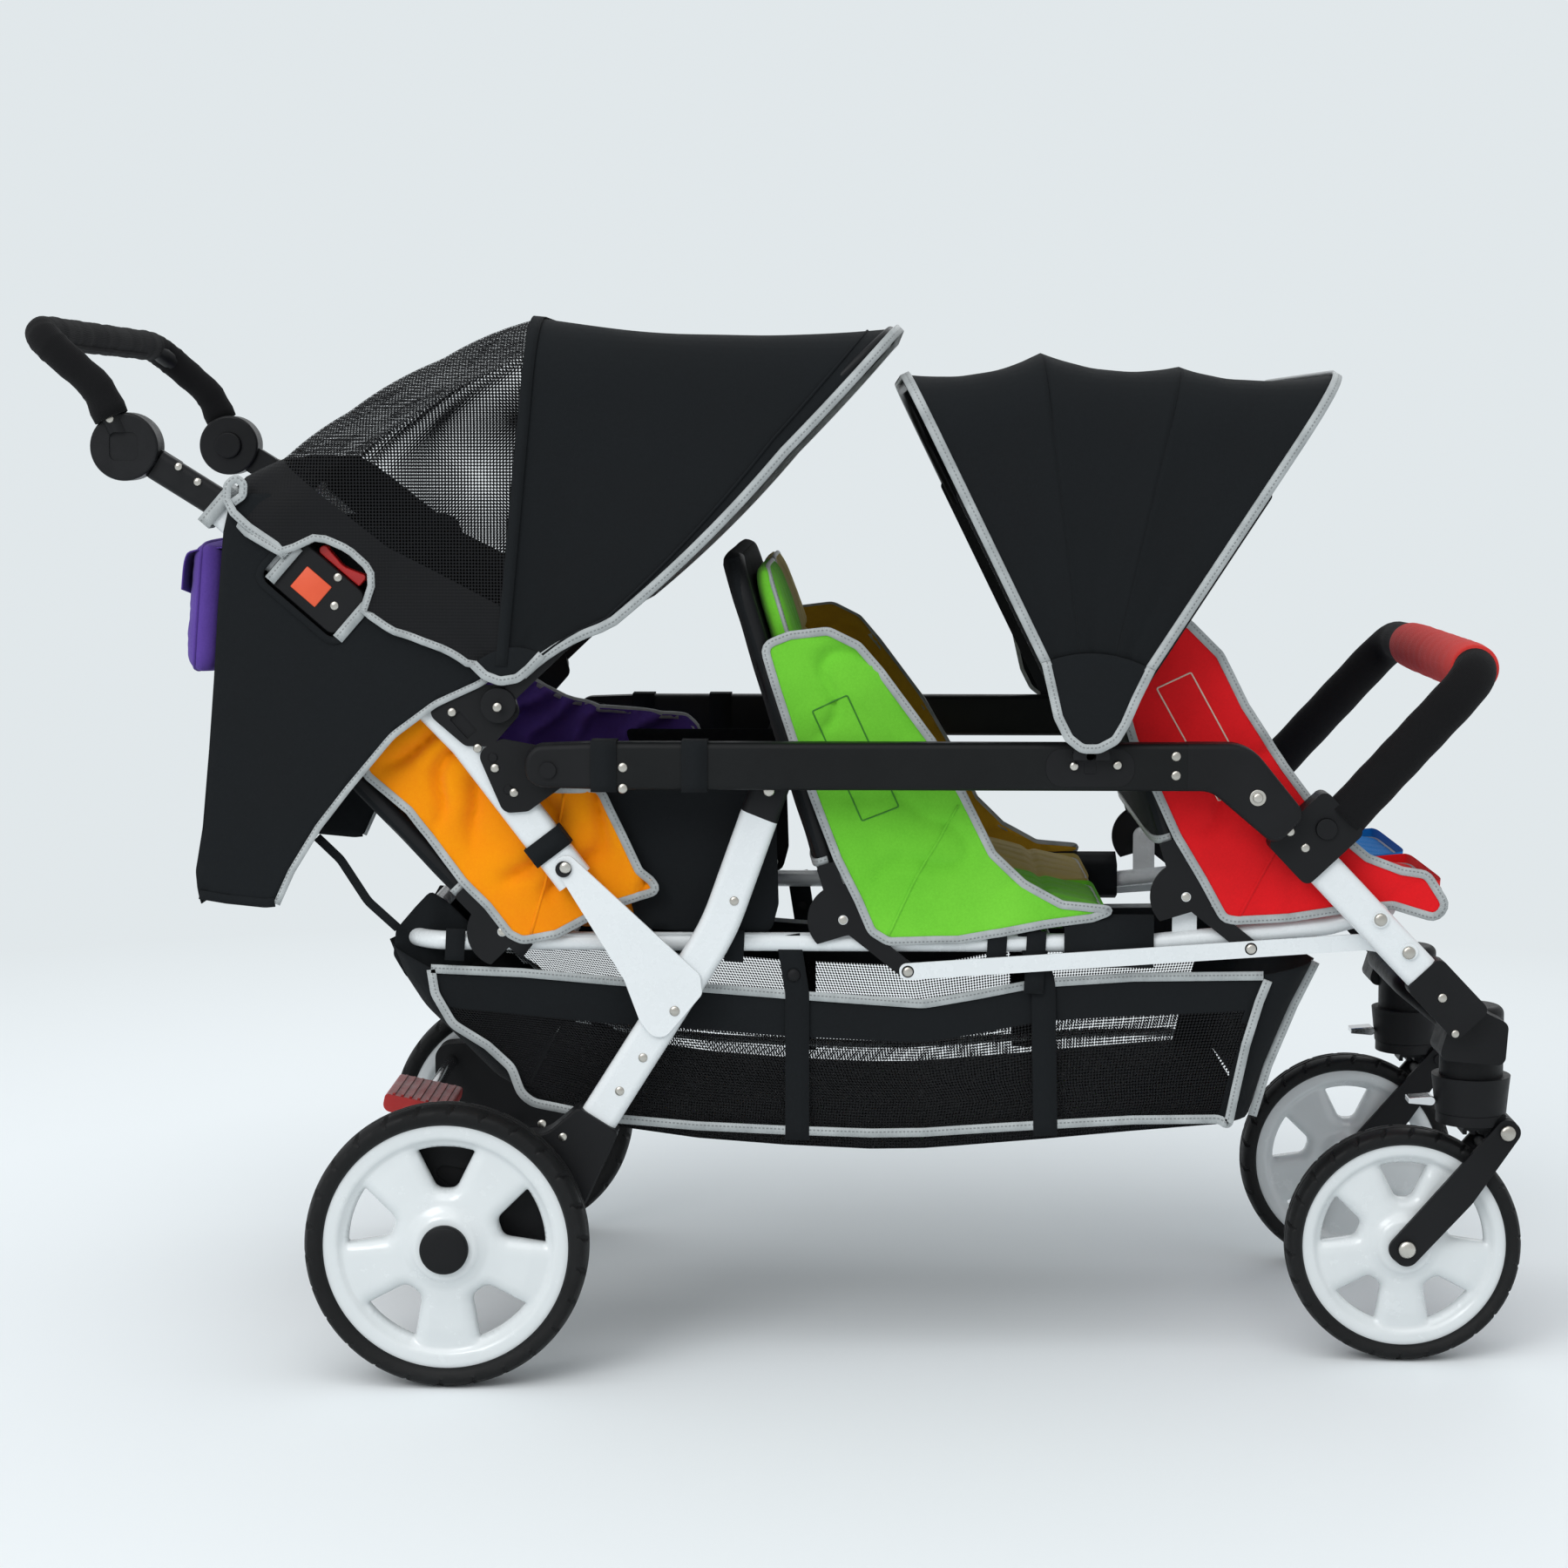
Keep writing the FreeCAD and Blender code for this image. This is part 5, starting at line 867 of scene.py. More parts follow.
def pad(
    name, start, end, sides, thick, channels, seam, made, body, node, slot_name, seed, sag=0.0, taper=0.0,
):
    """A quilted pad from start to end (x, z), between two Y, with its piping."""
    low_y, high_y = sides
    long, wide = math.dist(start, end), high_y - low_y
    steps_u, steps_v = 66, 76
    groove_wide, groove_deep, middle = 5.0, 5.5, thick * 0.46
    spots, maps = [], []
    for face in (1, -1):
        for v in crowded(steps_v):
            for u in crowded(steps_u):
                full = eased(u, 9) * eased(v, 9)
                a, b = 2 * u - 1, 2 * v - 1
                across = (low_y + high_y) / 2 + a * (1 - 0.035 * abs(b) ** 10) * wide / 2
                along_way = long * (0.5 + 0.5 * b * (1 - 0.035 * abs(a) ** 10))
                if face > 0:
                    phase = u * channels
                    groove = min(phase % 1, 1 - phase % 1) * wide / channels
                    if phase < 0.5 or phase > channels - 0.5:
                        groove = wide / channels / 2
                    pinch = math.exp(-(groove / groove_wide) ** 2)
                    cross = math.exp(-((v - seam) * long / groove_wide) ** 2)
                    fold = noise.noise(Vector((u * 9 + seed, v * 26, seed))) * 1.3 * (0.35 + pinch)
                    fold += noise.noise(Vector((u * 4, v * 5, seed + 7))) * 2.4
                    crown = 0.86 + 0.14 * math.sin(math.pi * u) * math.sin(math.pi * v)
                    fold -= groove_deep * pinch + groove_deep * cross * (1 - 0.4 * pinch)
                    lift = full * ((thick - middle) * crown + fold - sag * math.sin(math.pi * v))
                    height = (middle + lift) * (1 - taper * sloped(v))
                else:
                    height = middle * (1 - full)
                x, z = along(start, end, along_way, height)
                spots.append((x, across, z))
                maps.append((u * wide / 1000, v * long / 1000))
    faces = lattice(steps_v + 1, steps_u + 1)
    obj = mesh_of(name, spots, np.vstack([faces, (faces + len(spots) // 2)[:, ::-1]]), made)
    mapped(obj, maps)
    with editing(obj.data) as shape:
        bmesh.ops.remove_doubles(shape, verts=shape.verts, dist=0.00002)
        bmesh.ops.recalc_face_normals(shape, faces=shape.faces)
    belongs(obj, body, node)
    edge = []
    for k in range(160):
        a, b = (0.985 * part for part in squared(math.tau * k / 160, 0.16, 0.16))
        height = middle * 1.35 * (1 - taper * sloped(0.5 + 0.5 * b))
        x, z = along(start, end, long * (0.5 + 0.5 * b), height)
        edge.append((x, (low_y + high_y) / 2 + a * wide / 2, z))
    upward = ((start[1] - end[1]) / long, 0, (end[0] - start[0]) / long)
    piping = swept(name + "_piping", edge, ring_section(2.6, 8), made, upward, None, True)
    belongs(piping, body)
    return obj


seat_bases = {
    "rear": ((99, 468.3), (335, 468.3)),
    "middle": ((463, 468.3), (699, 468.3)),
    "front": ((827, 475.3), (1062, 501)),
}
seat_tapers = {"rear": 0.46, "middle": 0.46, "front": 0.62}
slot_of = {"rear": "orange_cloth", "middle": "green_cloth", "front": "red_cloth"}


def row_way(row):
    """The unit way up a row's back and the way ahead of it."""
    turn = math.radians(row_angles[row])
    return (math.cos(turn), math.sin(turn)), (math.sin(turn), -math.cos(turn))


def on_back(row, up_way, ahead):
    """A place (x, z) on a row's back: so far up from the hinge and ahead of the tube's axis."""
    up, out = row_way(row)
    x, z = row_hinges[row]
    return (x + up[0] * up_way + out[0] * ahead, z + up[1] * up_way + out[1] * ahead)


pad_ahead = 12.2
# A paler lit copy of the same yellow cloth for the far middle pads: with the brown copy above, these are
# painted light and shade of one cloth.
lit_yellow = seat_cloth("lit_yellow", (0.4, 0.3, 0.09), (0.62, 0.5, 0.17))[1]
for number, ((row, side_y), (colour, made)) in enumerate(seat_cloths.items()):
    made = lit_yellow if colour == "yellow" else made
    slot_name = "purple_cloth" if colour == "purple" else slot_of[row]
    sides = (5, 228) if side_y > 0 else (-228, -5)
    pad(
        "%s_seat_%s" % (row, colour), *seat_bases[row], sides, 56, 5, 0.74, made, "seat", row + "_cushions",
        slot_name, number * 3.1, 2.0, seat_tapers[row])
    sides = (5, 231) if side_y > 0 else (-231, -5)
    top, foot = on_back(row, 385, pad_ahead), on_back(row, 63, pad_ahead)
    pad(
        "%s_back_%s" % (row, colour), top, foot, sides, 31, 5, 0.3, made, row + "_back",
        row + "_back_pads", slot_name, number * 5.7)

# Back covers: black padded sleeves drawn over the back tubes from above, with a grey hem
# round the opening below; the white tubes come out of them. The pads' piping is the same tape.
black_cloth = cloth_finish(
    "cloth_black", (0.0055, 0.0065, 0.0076), (0.0125, 0.0148, 0.0168), 0.0011, 0.0002, 0.02)


def tape_finish():
    """Grey reflective tape: fine ribs, faded patches and a dashed thread along its middle."""
    made = new_material("reflective_tape", (0.42, 0.45, 0.46), 0.38, 0.0, {"Sheen Weight": 0.15})
    places = add(made, "ShaderNodeTexCoord").outputs
    across, long, _ = add(made, "ShaderNodeSeparateXYZ", {0: places["UV"]}).outputs
    ribs = waves(made, long, 0.0016)
    dash = spread(made, waves(made, long, 0.0042), 0, 1, -0.25, 0.15)
    centre = math_node(made, "ABSOLUTE", math_node(made, "SUBTRACT", across, 0.0055))
    thread = times(made, dash, math_node(made, "LESS_THAN", centre, 0.0007))
    wear = cloudy(made, places["Object"], 38.0, 3.0)
    tone = spread(made, wear, 0, 1, 0.3, 0.7)
    tone = blend_colour(made, tone, (0.3, 0.325, 0.33, 1), (0.44, 0.47, 0.475, 1))
    tone = blend_colour(made, times(made, thread, 0.65), tone, (0.12, 0.125, 0.13, 1))
    height = plus(made, times(made, ribs, 0.5), times(made, thread, -2.0))
    return shade(made, tone, spread(made, wear, 0.32, 0.5, 0.3, 0.7), height, 0.0002)


grey_tape = tape_finish()
for (row, _), (colour, _) in seat_cloths.items():
    for part in ("seat", "back"):
        bpy.data.objects["%s_%s_%s_piping" % (row, part, colour)].data.materials[0] = grey_tape


def back_cover(row):
    """One row's sleeve: a flattened tube round the back frame, closed at its top."""
    spots, maps = [], []
    levels = [62 + 347 * k / 58 for k in range(59)]
    levels = levels[:-1] + [401 + 8 * math.sin(math.pi / 2 * k / 8) for k in range(1, 9)]
    around, cover_half, set_back = 96, 252.6, 2.2
    for level in levels:
        rest = max(level - 352, 0) / 57
        half = cover_half - 50 * (1 - math.sqrt(max(1 - rest ** 2, 0)))
        end = max((level - 396) / 13, 0)
        thin = math.sqrt(max(1 - min(end, 0.995) ** 2, 0.02))
        for k in range(around):
            side, out = squared(math.tau * k / around, 0.22, 0.75)
            side, out = side * half, out * 13.6 * thin - set_back
            ripple = noise.noise(Vector((side / 42, level / 60, row_hinges[row][0]))) * 1.5
            out += ripple if out < 0 else 0
            x, z = on_back(row, level, out)
            spots.append((x, side, z))
            maps.append((side / 1000, level / 1000))
    faces = lattice(len(levels), around, True).tolist()
    faces += [list(range(around))[::-1], list(range(len(spots) - around, len(spots)))]
    obj = mesh_of(row + "_back_cover", spots, faces, black_cloth)
    mapped(obj, maps)
    belongs(obj, row + "_back", row + "_back_pads")
    hem_line = []
    for k in range(around):
        side, out = squared(math.tau * k / around, 0.22, 0.75)
        x, z = on_back(row, 66, out * 14.0 - set_back)
        hem_line.append((x, side * (cover_half + 0.4), z))
    band = [(1.2, 4.2), (-1.2, 4.2), (-1.2, -4.2), (1.2, -4.2)]
    (up_x, up_z), _ = row_way(row)
    hem = swept(row + "_back_hem", hem_line, band, grey_tape, (up_x, 0, up_z), None, True)
    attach(hem, row + "_back")


for row in row_hinges:
    back_cover(row)

# Side wings: one cloth panel at each side of each row, from the back tube forward to the seat,
# edged with reflective tape and sewn to the back's cover along its rear edge.
wing_outlines = {
    "rear": [
        (-108, 690), (-40, 712), (-8, 695), (39, 651), (94, 626), (159, 626), (201, 537), (224, 517),
        (168, 500), (112, 469), (75, 462), (61, 469), (38, 499), (10, 527), (-18, 565), (-46, 602),
        (-92, 640),
    ],
    "middle": [
        (331, 780), (359, 791), (400, 796), (432, 780), (456, 752), (511, 678), (544, 621), (576, 557),
        (609, 525), (651, 502), (706, 497), (683, 488), (632, 481), (586, 472), (540, 464), (465, 462),
        (447, 473), (433, 506), (410, 552), (384, 620), (363, 678), (345, 733),
    ],
    "front": [
        (690, 793), (740, 810), (779, 806), (814, 771), (842, 716), (884, 651), (908, 619), (935, 586),
        (973, 554), (1010, 540), (1037, 536), (1058, 503), (1047, 489), (1001, 503), (946, 498),
        (891, 489), (835, 486), (821, 488), (798, 530), (770, 577), (746, 630), (723, 679),
    ],
}
far_rear_wing = [
    (-108, 690), (-40, 712), (0, 705), (35, 701), (72, 681), (117, 669), (169, 664), (222, 658),
    (238, 645), (236, 600), (228, 520), (168, 500), (112, 469), (75, 462), (61, 469), (38, 499), (10, 527),
    (-18, 565), (-46, 602), (-92, 640),
]
wing_marks = {
    "middle": (
        [(384, 709), (421, 726), (476, 607), (437, 592)], [(539, 609), (521, 576), (493, 529), (465, 469)],
    ),
    "front": (
        [(748, 734), (784, 751), (852, 628), (815, 614)], [(905, 612), (880, 570), (858, 530), (836, 488)],
    ),
    "rear": (None, [(120, 620), (110, 570), (98, 520), (84, 470)]),
}


def grid_places(loop, step):
    """Places inside an outline on a skewed grid, clear of its edge."""
    loop = np.asarray(loop)
    low, high = loop.min(0), loop.max(0)
    spots = []
    for j, z in enumerate(np.arange(low[1], high[1], step * 0.87)):
        for x in np.arange(low[0] + (j % 2) * step / 2, high[0], step):
            spots.append((x, z))
    spots = np.array(spots)
    spots = spots[inside(spots, loop)]
    return spots[nearness(spots, loop) > step * 0.5]


def thickened(obj, thick):
    """A cloth given its thickness in millimetres, inwards."""
    solid = obj.modifiers.new("cloth", "SOLIDIFY")
    solid.thickness = thick / 1000
    solid.offset = -1
    return applied(obj)


def cloth_plane(name, loop, out_at, made, side_y, step=7.0, thick=1.4):
    """An upright cloth cut to an outline of (x, z) places, set out from the middle by out_at."""
    places, faces = filled(loop, [], grid_places(loop, step))
    spots = [(x, side_y * out_at(x, z), z) for x, z in places]
    obj = mesh_of(name, spots, faces, made)
    mapped(obj, places / 1000)
    with editing(obj.data) as shape:
        bmesh.ops.recalc_face_normals(shape, faces=shape.faces)
        shape.faces.ensure_lookup_table()
        total = sum(face.normal.y * face.calc_area() for face in shape.faces)
        if total * side_y < 0:
            bmesh.ops.reverse_faces(shape, faces=shape.faces)
    return thickened(obj, thick)


def tape(name, line, out_at, side_y, made=None, wide=8.5, closed=False, lift=0.8):
    """Tape sewn along a line of (x, z) places on an upright cloth."""
    path = [(x, side_y * (out_at(x, z) + lift), z) for x, z in line]
    half = wide / 2
    section = [(half, 0.7), (-half, 0.7), (-half - 0.4, 0), (-half, -1.6), (half, -1.6), (half + 0.4, 0)]
    return swept(name, path, section, made or grey_tape, (0, side_y, 0), None, closed)


def joined(name, parts):
    """Several objects made one."""
    shape = bmesh.new()
    kept = []
    for part in parts:
        for made in part.data.materials:
            if made not in kept:
                kept.append(made)
        first = len(shape.faces)
        shape.from_mesh(part.data)
        shape.faces.ensure_lookup_table()
        for face in shape.faces[first:]:
            face.material_index = kept.index(part.data.materials[face.material_index])
        bpy.data.objects.remove(part)
    mesh = bpy.data.meshes.new(name)
    shape.to_mesh(mesh)
    shape.free()
    for made in kept:
        mesh.materials.append(made)
    return collected(name, mesh)


pale_thread = new_material("pale_thread", (0.62, 0.5, 0.42), 0.7)
green_thread = new_material("green_thread", (0.03, 0.2, 0.012), 0.7)
bracket_out, wing_limit = 254.9, 259.9
blend_marks = {
    "rear": ((80, 20), (-20, 60)), "middle": ((60, 20), (-10, 110)), "front": ((60, 20), (-10, 110)),
}
for row, outline in wing_outlines.items():
    hinge_x, hinge_z = row_hinges[row]
    loop = loop_of(outline, [16] * len(outline), 5)
    centre = np.mean(loop, axis=0)

    def wing_out(x, z, hinge_x=hinge_x, hinge_z=hinge_z, ahead_way=row_way(row)[1]):
        """How far out the wing stands: over the bracket at its hinge, softly puffed above."""
        over = math.exp(-((x - hinge_x) ** 2 + (z - hinge_z) ** 2) / 5200)
        loose = hinge_x < 100
        warp = noise.noise(Vector((x / 75, z / 75, hinge_x))) * 3.4
        fold = abs(math.sin((x * 0.86 - z * 0.5) / (17 if loose else 40) + warp)) ** 0.75
        puff = 0.55 + 0.45 * noise.noise(Vector((x / 60, z / 60, hinge_x)))
        deep = 6.0 if loose else 3.6
        fine = noise.noise(Vector((x / 22, z / 36, hinge_x + 3))) * 0.6
        ahead = (x - hinge_x) * ahead_way[0] + (z - hinge_z) * ahead_way[1]
        clear = sloped(0.4 + 0.6 * (ahead - 22) / 40) * sloped(0.4 + 0.6 * (z - hinge_z - 22) / 34)
        valley = (13 if loose else 6) * (1 - fold) ** 1.3 * clear
        raised = max(3.5 * min(1, 1.5 * over), deep * fold * puff) + fine * (1 - over)
        return min(bracket_out + raised, wing_limit) - valley

    for side_y, side in side_names.items():
        # The far middle wing takes the yellow cloth's copy painted in shade.
        made = seat_cloths[(row, side_y)][1]
        if row == "rear" and side_y > 0:
            loop = loop_of(far_rear_wing, [16] * len(far_rear_wing), 5)
        wing = cloth_plane("%s_wing_%s" % (row, side), loop, wing_out, made, side_y, 5.5)
        drawn_in = [tuple(centre + (np.array(place) - centre) * 0.992) for place in loop]
        parts = [tape("edge", drawn_in, wing_out, side_y, None, 8.5, True)]
        square, crease = wing_marks[row]
        thread = green_thread if row == "middle" else pale_thread
        if square:
            parts.append(tape("mark", loop_of(square, [2] * 4, 4), wing_out, side_y, thread, 0.9, True, 0.1))
        parts.append(tape("crease", bent(crease, 40), wing_out, side_y, made, 2.2, False, 0.4))
        trim = joined("%s_wing_trim_%s" % (row, side), parts)
        start, end = (put(hinge_x + x, 0, hinge_z + z) for x, z in blend_marks[row])
        for obj in (wing, trim):
            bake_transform(obj)
        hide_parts("side_panels")
        x, z = np.array(loop).T
        cut = 0.5 * abs(np.dot(x, np.roll(z, 1)) - np.dot(z, np.roll(x, 1))) / 1e6

# Basket: one long cloth tub hung from the seat tubes, with solid ends, floor and upper band,
# mesh windows in both sides, taped seams, and two webbing straps with snaps on each side.
def mesh_finish(name, open_share, split=None, pitch=0.0048):
    """Net cloth, its holes cut by alpha; split names an attribute above which it is net."""
    made = new_material(name, (0.008, 0.0085, 0.0095), 0.75, 0.0, {"Specular IOR Level": 0.15})
    places = add(made, "ShaderNodeTexCoord").outputs
    u, v, _ = add(made, "ShaderNodeSeparateXYZ", {0: places["UV"]}).outputs
    first = waves(made, plus(made, u, v), pitch * 1.4)
    weave = times(made, first, waves(made, math_node(made, "SUBTRACT", u, v), pitch * 1.4))
    hole = math_node(made, "GREATER_THAN", weave, open_share)
    if split:
        value = add(made, "ShaderNodeAttribute", attribute_name=split).outputs["Fac"]
        hole = times(made, hole, math_node(made, "GREATER_THAN", value, 0.0))
    patches = cloudy(made, places["Object"], 10.0, 3.0)
    tone = spread(made, patches, 0, 1, 0.3, 0.7)
    tone = blend_colour(made, tone, (0.0045, 0.0048, 0.0055, 1), (0.011, 0.0115, 0.013, 1))
    alpha = made.node_tree.nodes["Principled BSDF"].inputs["Alpha"]
    made.node_tree.links.new(math_node(made, "SUBTRACT", 1.0, hole), alpha)
    return shade(made, tone, spread(made, patches, 0.62, 0.85, 0.35, 0.65), weave, 0.0002)


net_black = mesh_finish("net_black", -0.06)


def skin(name, rows, made, around=False, centre=(0, 0, 0), thick=1.2):
    """A cloth skin through rows of millimetre places, facing away from a centre."""
    rows = np.asarray(rows, float)
    count, wide, _ = rows.shape
    obj = mesh_of(name, rows.reshape(-1, 3), lattice(count, wide, around), made)
    middle = rows[count // 2]
    across = np.vstack([middle, middle[:1]]) if around else middle
    lattice_map(obj, distances(across), distances(rows[:, wide // 3]))
    total = sum(face.normal.dot(face.center - put(*centre)) * face.area for face in obj.data.polygons)
    if total < 0:
        obj.data.flip_normals()
    return thickened(obj, thick)


basket_edge = np.array([
    (-76, 455), (-25, 430), (73, 426), (167, 418), (260, 411), (354, 404), (428, 399), (503, 394),
    (559, 404), (624, 417), (726, 424), (865, 426), (925, 438),
], float)
basket_band = np.array([
    (-76, 400), (7, 386), (73, 380), (167, 371), (260, 365), (354, 358), (447, 354), (503, 352), (559, 361),
    (633, 376), (856, 388), (925, 392),
], float)
basket_low = np.array([
    (60, 292), (82, 284), (129, 272), (166, 258), (260, 245), (354, 238), (447, 234), (503, 235),
    (541, 238), (634, 246), (727, 255), (820, 263), (862, 268),
], float)
rear_slope = np.array([(288, 73), (309, 35), (347, -2), (384, -39), (422, -63), (455, -76)], float)
front_slope = np.array([(266, 857), (323, 875), (389, 902), (436, 925)], float)
window_rear = np.array([
    (276, 129), (285, 84), (295, 71), (323, 61), (347, 35), (370, -2), (403, -21), (429, -25),
], float)
window_front = np.array([(264, 829), (304, 837), (351, 847), (398, 861), (421, 870)], float)


rim_half, turn_wide, band_level = 245, 42, 0.28


def basket_place(share, level):
    """A place (x, z) on the basket's side, from its rear to its front and top to bottom."""
    z = 430 - 150 * level
    for _ in range(6):
        x_rear, x_front = np.interp(z, *rear_slope.T), np.interp(z, *front_slope.T)
        x = x_rear + (x_front - x_rear) * share
        top, band, low = (np.interp(x, *line.T) for line in (basket_edge, basket_band, basket_low))
        if level < band_level:
            z = top + (band - top) * level / band_level
        else:
            z = band + (low - band) * (level - band_level) / (1 - band_level)
    return x, z


basket_rows = []
band_levels = [k / 7 * band_level for k in range(8)]
for level in band_levels + [band_level + (1 - band_level) * k / 18 for k in range(1, 19)]:
    side_line = []
    (x_rear, _), (x_front, _) = basket_place(0, level), basket_place(1, level)
    for k in range(121):
        x, z = basket_place(k / 120, level)
        corner = max(turn_wide - min(x - x_rear, x_front - x), 0)
        y = rim_half - 10 * level - (turn_wide - math.sqrt(max(turn_wide ** 2 - corner ** 2, 0)))
        belly = 2.5 + 2.0 * noise.noise(Vector((x / 90, z / 60, 1)))
        belly *= math.sin(math.pi * level) * math.sin(math.pi * k / 120)
        side_line.append((x, y + min(belly, rim_half + 1 - y), z))
    front, back = side_line[-1], side_line[0]
    front_wall, back_wall = [], []
    for k in range(1, 30):
        y = 1 - 2 * k / 30
        drop = 10 * (1 - y * y) * (1 - level)
        front_wall.append((front[0] + 5 * (1 - y * y) * level, front[1] * y, front[2] - drop))
        back_wall.append((back[0] - 5 * (1 - y * y) * level, -back[1] * y, back[2] - drop))
    near_half = [(x, -y, z) for x, y, z in side_line + front_wall]
    basket_rows.append(near_half + side_line[::-1] + [(x, -y, z) for x, y, z in back_wall])
walls = skin("basket_walls", basket_rows, black_cloth, True, (430, 0, 340))
walls.data.materials.append(net_black)
for face in walls.data.polygons:
    x, y, z = face.center.x * 1000 + middle_x, face.center.y * 1000, face.center.z * 1000
    below = abs(y) > 228 and z < np.interp(x, *basket_band.T)
    if below and np.interp(z, *window_rear.T) < x < np.interp(z, *window_front.T) - 8:
        face.material_index = 1
lowest = basket_rows[-1]
floor_rows = []
for k in range(121):
    x, y, z = lowest[k]
    sag = 5 * math.sin(math.pi * k / 120)
    floor_rows.append([(x, y * (1 - 2 * j / 36), z - sag * math.sin(math.pi * j / 36)) for j in range(37)])
base = skin("basket_base", floor_rows, black_cloth, False, (430, 0, 600))
basket = joined("basket_cloth", [walls, base])
belongs(basket, "seat", "basket")


def flat_at(out):
    """A cloth that stands upright at one distance from the middle."""
    return lambda x, z: out


basket_trims = []
for side_y in side_names:
    side, corner = flat_at(246.4), flat_at(214.0)
    rear_line = [(x, z) for z, x in window_rear[::-1]]
    low_line = []
    for x, z in basket_low[3:-1]:
        swell = math.sin(math.pi * min(max((x - 130) / 700, 0), 1)) ** 0.6
        low_line.append((x, z + 6 + 14 * swell))
    window = rear_line + low_line + [(x, z) for z, x in window_front]
    front_edge = [(925, 436), (902, 389), (875, 323), (859, 268)]
    basket_trims.append(tape("rim", bent(basket_edge[1:-1], 60, 6), side, side_y, None, 9))
    basket_trims.append(tape("window", bent(window, 26), side, side_y, None, 9))
    basket_trims.append(tape("front_edge", bent(front_edge, 60, 6), corner, side_y, None, 9))
    for strap in ([(358, 468), (368, 405), (368, 246)], [(614, 478), (631, 416), (634, 252)]):
        basket_trims.append(tape("strap", bent(strap, 60, 6), side, side_y, black_cloth, 25, False, 1.6))
basket_trim = joined("basket_tapes", basket_trims)
belongs(basket_trim, "seat")
rivet_heads(
    "basket_snaps", "seat", [(364, 249, 425, 7.5), (625, 249, 436, 7.5)],
    flatness=0.5, made=nylon_black)

# Canopies: black cloth fans stretched over bent tube bows that turn on the hubs; the free
# edges are bound in reflective tape. The rear one has a net back and a deep hood.
bow_foot = 0.6655
for node in (
    "rear_canopy_bow_middle", "rear_canopy_bow_front", "front_canopy_bow_rear", "front_canopy_bow_second",
    "front_canopy_bow_third", "front_canopy_bow_front",
):
    bow = dressed(node, tube_black, 0.0)
    if node.startswith("front"):
        with editing(bow.data) as shape:
            whole = shape.verts[:] + shape.edges[:] + shape.faces[:]
            bmesh.ops.bisect_plane(
                shape, geom=whole, plane_co=(0, 0, bow_foot), plane_no=(0, 0, -1), clear_outer=True)


def resampled(line, count):
    """A line of places as a count of even steps."""
    far = distances(line)
    even = np.linspace(0, far[-1], count)
    return np.stack([np.interp(even, far, part) for part in zip(*line)], 1)


def hoop(reach, low, half, corner=78, count=121):
    """Places (y, r) up one side of a bow's cloth, over and down."""
    corners = [Vector((half, low)), Vector((half, reach)), Vector((-half, reach)), Vector((-half, low))]
    return resampled(rounded(corners, [0, corner, corner, 0], 5), count)


def chord(angle, first, second):
    """Reach at an angle on the straight line between two (angle, reach) places."""
    (a, ra), (b, rb) = first, second
    a, b, t = math.radians(a), math.radians(b), math.radians(angle)
    return ra * rb * math.sin(b - a) / (ra * math.sin(t - a) + rb * math.sin(b - t))


def fan(hub, angle_at, reach_at, low, half_at, sag, steps):
    """Rows of a cloth fan: each a hoop at its own share of the way from bow to bow."""
    first = hoop(reach_at(0), low, half_at(0))
    rows = []
    for k in range(steps + 1):
        t = k / steps
        reach, half = reach_at(t), half_at(t)
        row = []
        for y, r in first:
            share = (r - low) / (reach_at(0) - low)
            far = low + share * (reach - low)
            wide = y / half_at(0)
            roof = max(0, 1 - abs(wide) ** 6) if share > 0.8 else 0
            bulge = 4 * t * (1 - t)
            far -= sag[0] * bulge * roof * (reach / 420)
            ripple = noise.noise(Vector((y / 90 + t * 3, far / 80, t * 4 + hub[0]))) * 1.6 * bulge
            inward = sag[1] * bulge * math.sin(math.pi * min(share, 1)) * abs(wide) ** 4
            turn = math.radians(angle_at(far, t))
            side = wide * half
            side -= math.copysign(inward + max(ripple, -1), side) if abs(wide) > 0.9 else 0
            far += ripple * roof
            row.append((hub[0] + far * math.cos(turn), side, hub[1] + far * math.sin(turn)))
        rows.append(row)
    return rows


def edge_tape(name, row, hub, wide=9.5):
    """Tape bound over one free edge of a fan, given as a row of places."""
    path = [Vector(place) for place in row]
    widest = max(abs(place.y) for place in path)
    ups = []
    for spot in path:
        roof = Vector((spot.x - hub[0], 0, spot.z - hub[1])).normalized()
        side = Vector((0, math.copysign(1, spot.y), 0))
        at_corner = roof if abs(spot.y) < 215 else (roof + side).normalized()
        ups.append(side if abs(abs(spot.y) - widest) < 1.5 else at_corner)
    half = wide / 2
    section = [(half, 1.6), (-half, 1.6), (-half - 0.6, 0), (-half, -1.8), (half, -1.8), (half + 0.6, 0)]
    return swept(name, path, section, grey_tape, ups)


front_hub, rear_hub = (674, 669), (55, 718)
front_bows = [(116, 440), (97, 421), (77, 414), (57, 472)]
for k in range(3):
    first, second = front_bows[k], front_bows[k + 1]
    rows = fan(
        front_hub, lambda r, t, a=first[0], b=second[0]: a + (b - a) * t,
        lambda t, a=first, b=second: chord(a[0] + (b[0] - a[0]) * t, a, b), 105, lambda t: 342, (15, 6), 20)
    gore = skin("front_canopy_gore_%d" % (k + 1), rows, black_cloth, False, (front_hub[0], 0, front_hub[1]))
    parts = []
    if k == 0:
        parts = [edge_tape("front_canopy_rear_tape", rows[0], front_hub)]
        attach(parts[0], "rails")
    if k == 2:
        parts = [edge_tape("front_canopy_front_tape", rows[-1], front_hub)]
        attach(parts[0], "front_bow")
    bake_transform(gore)
    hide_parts("front_canopy_cloth")


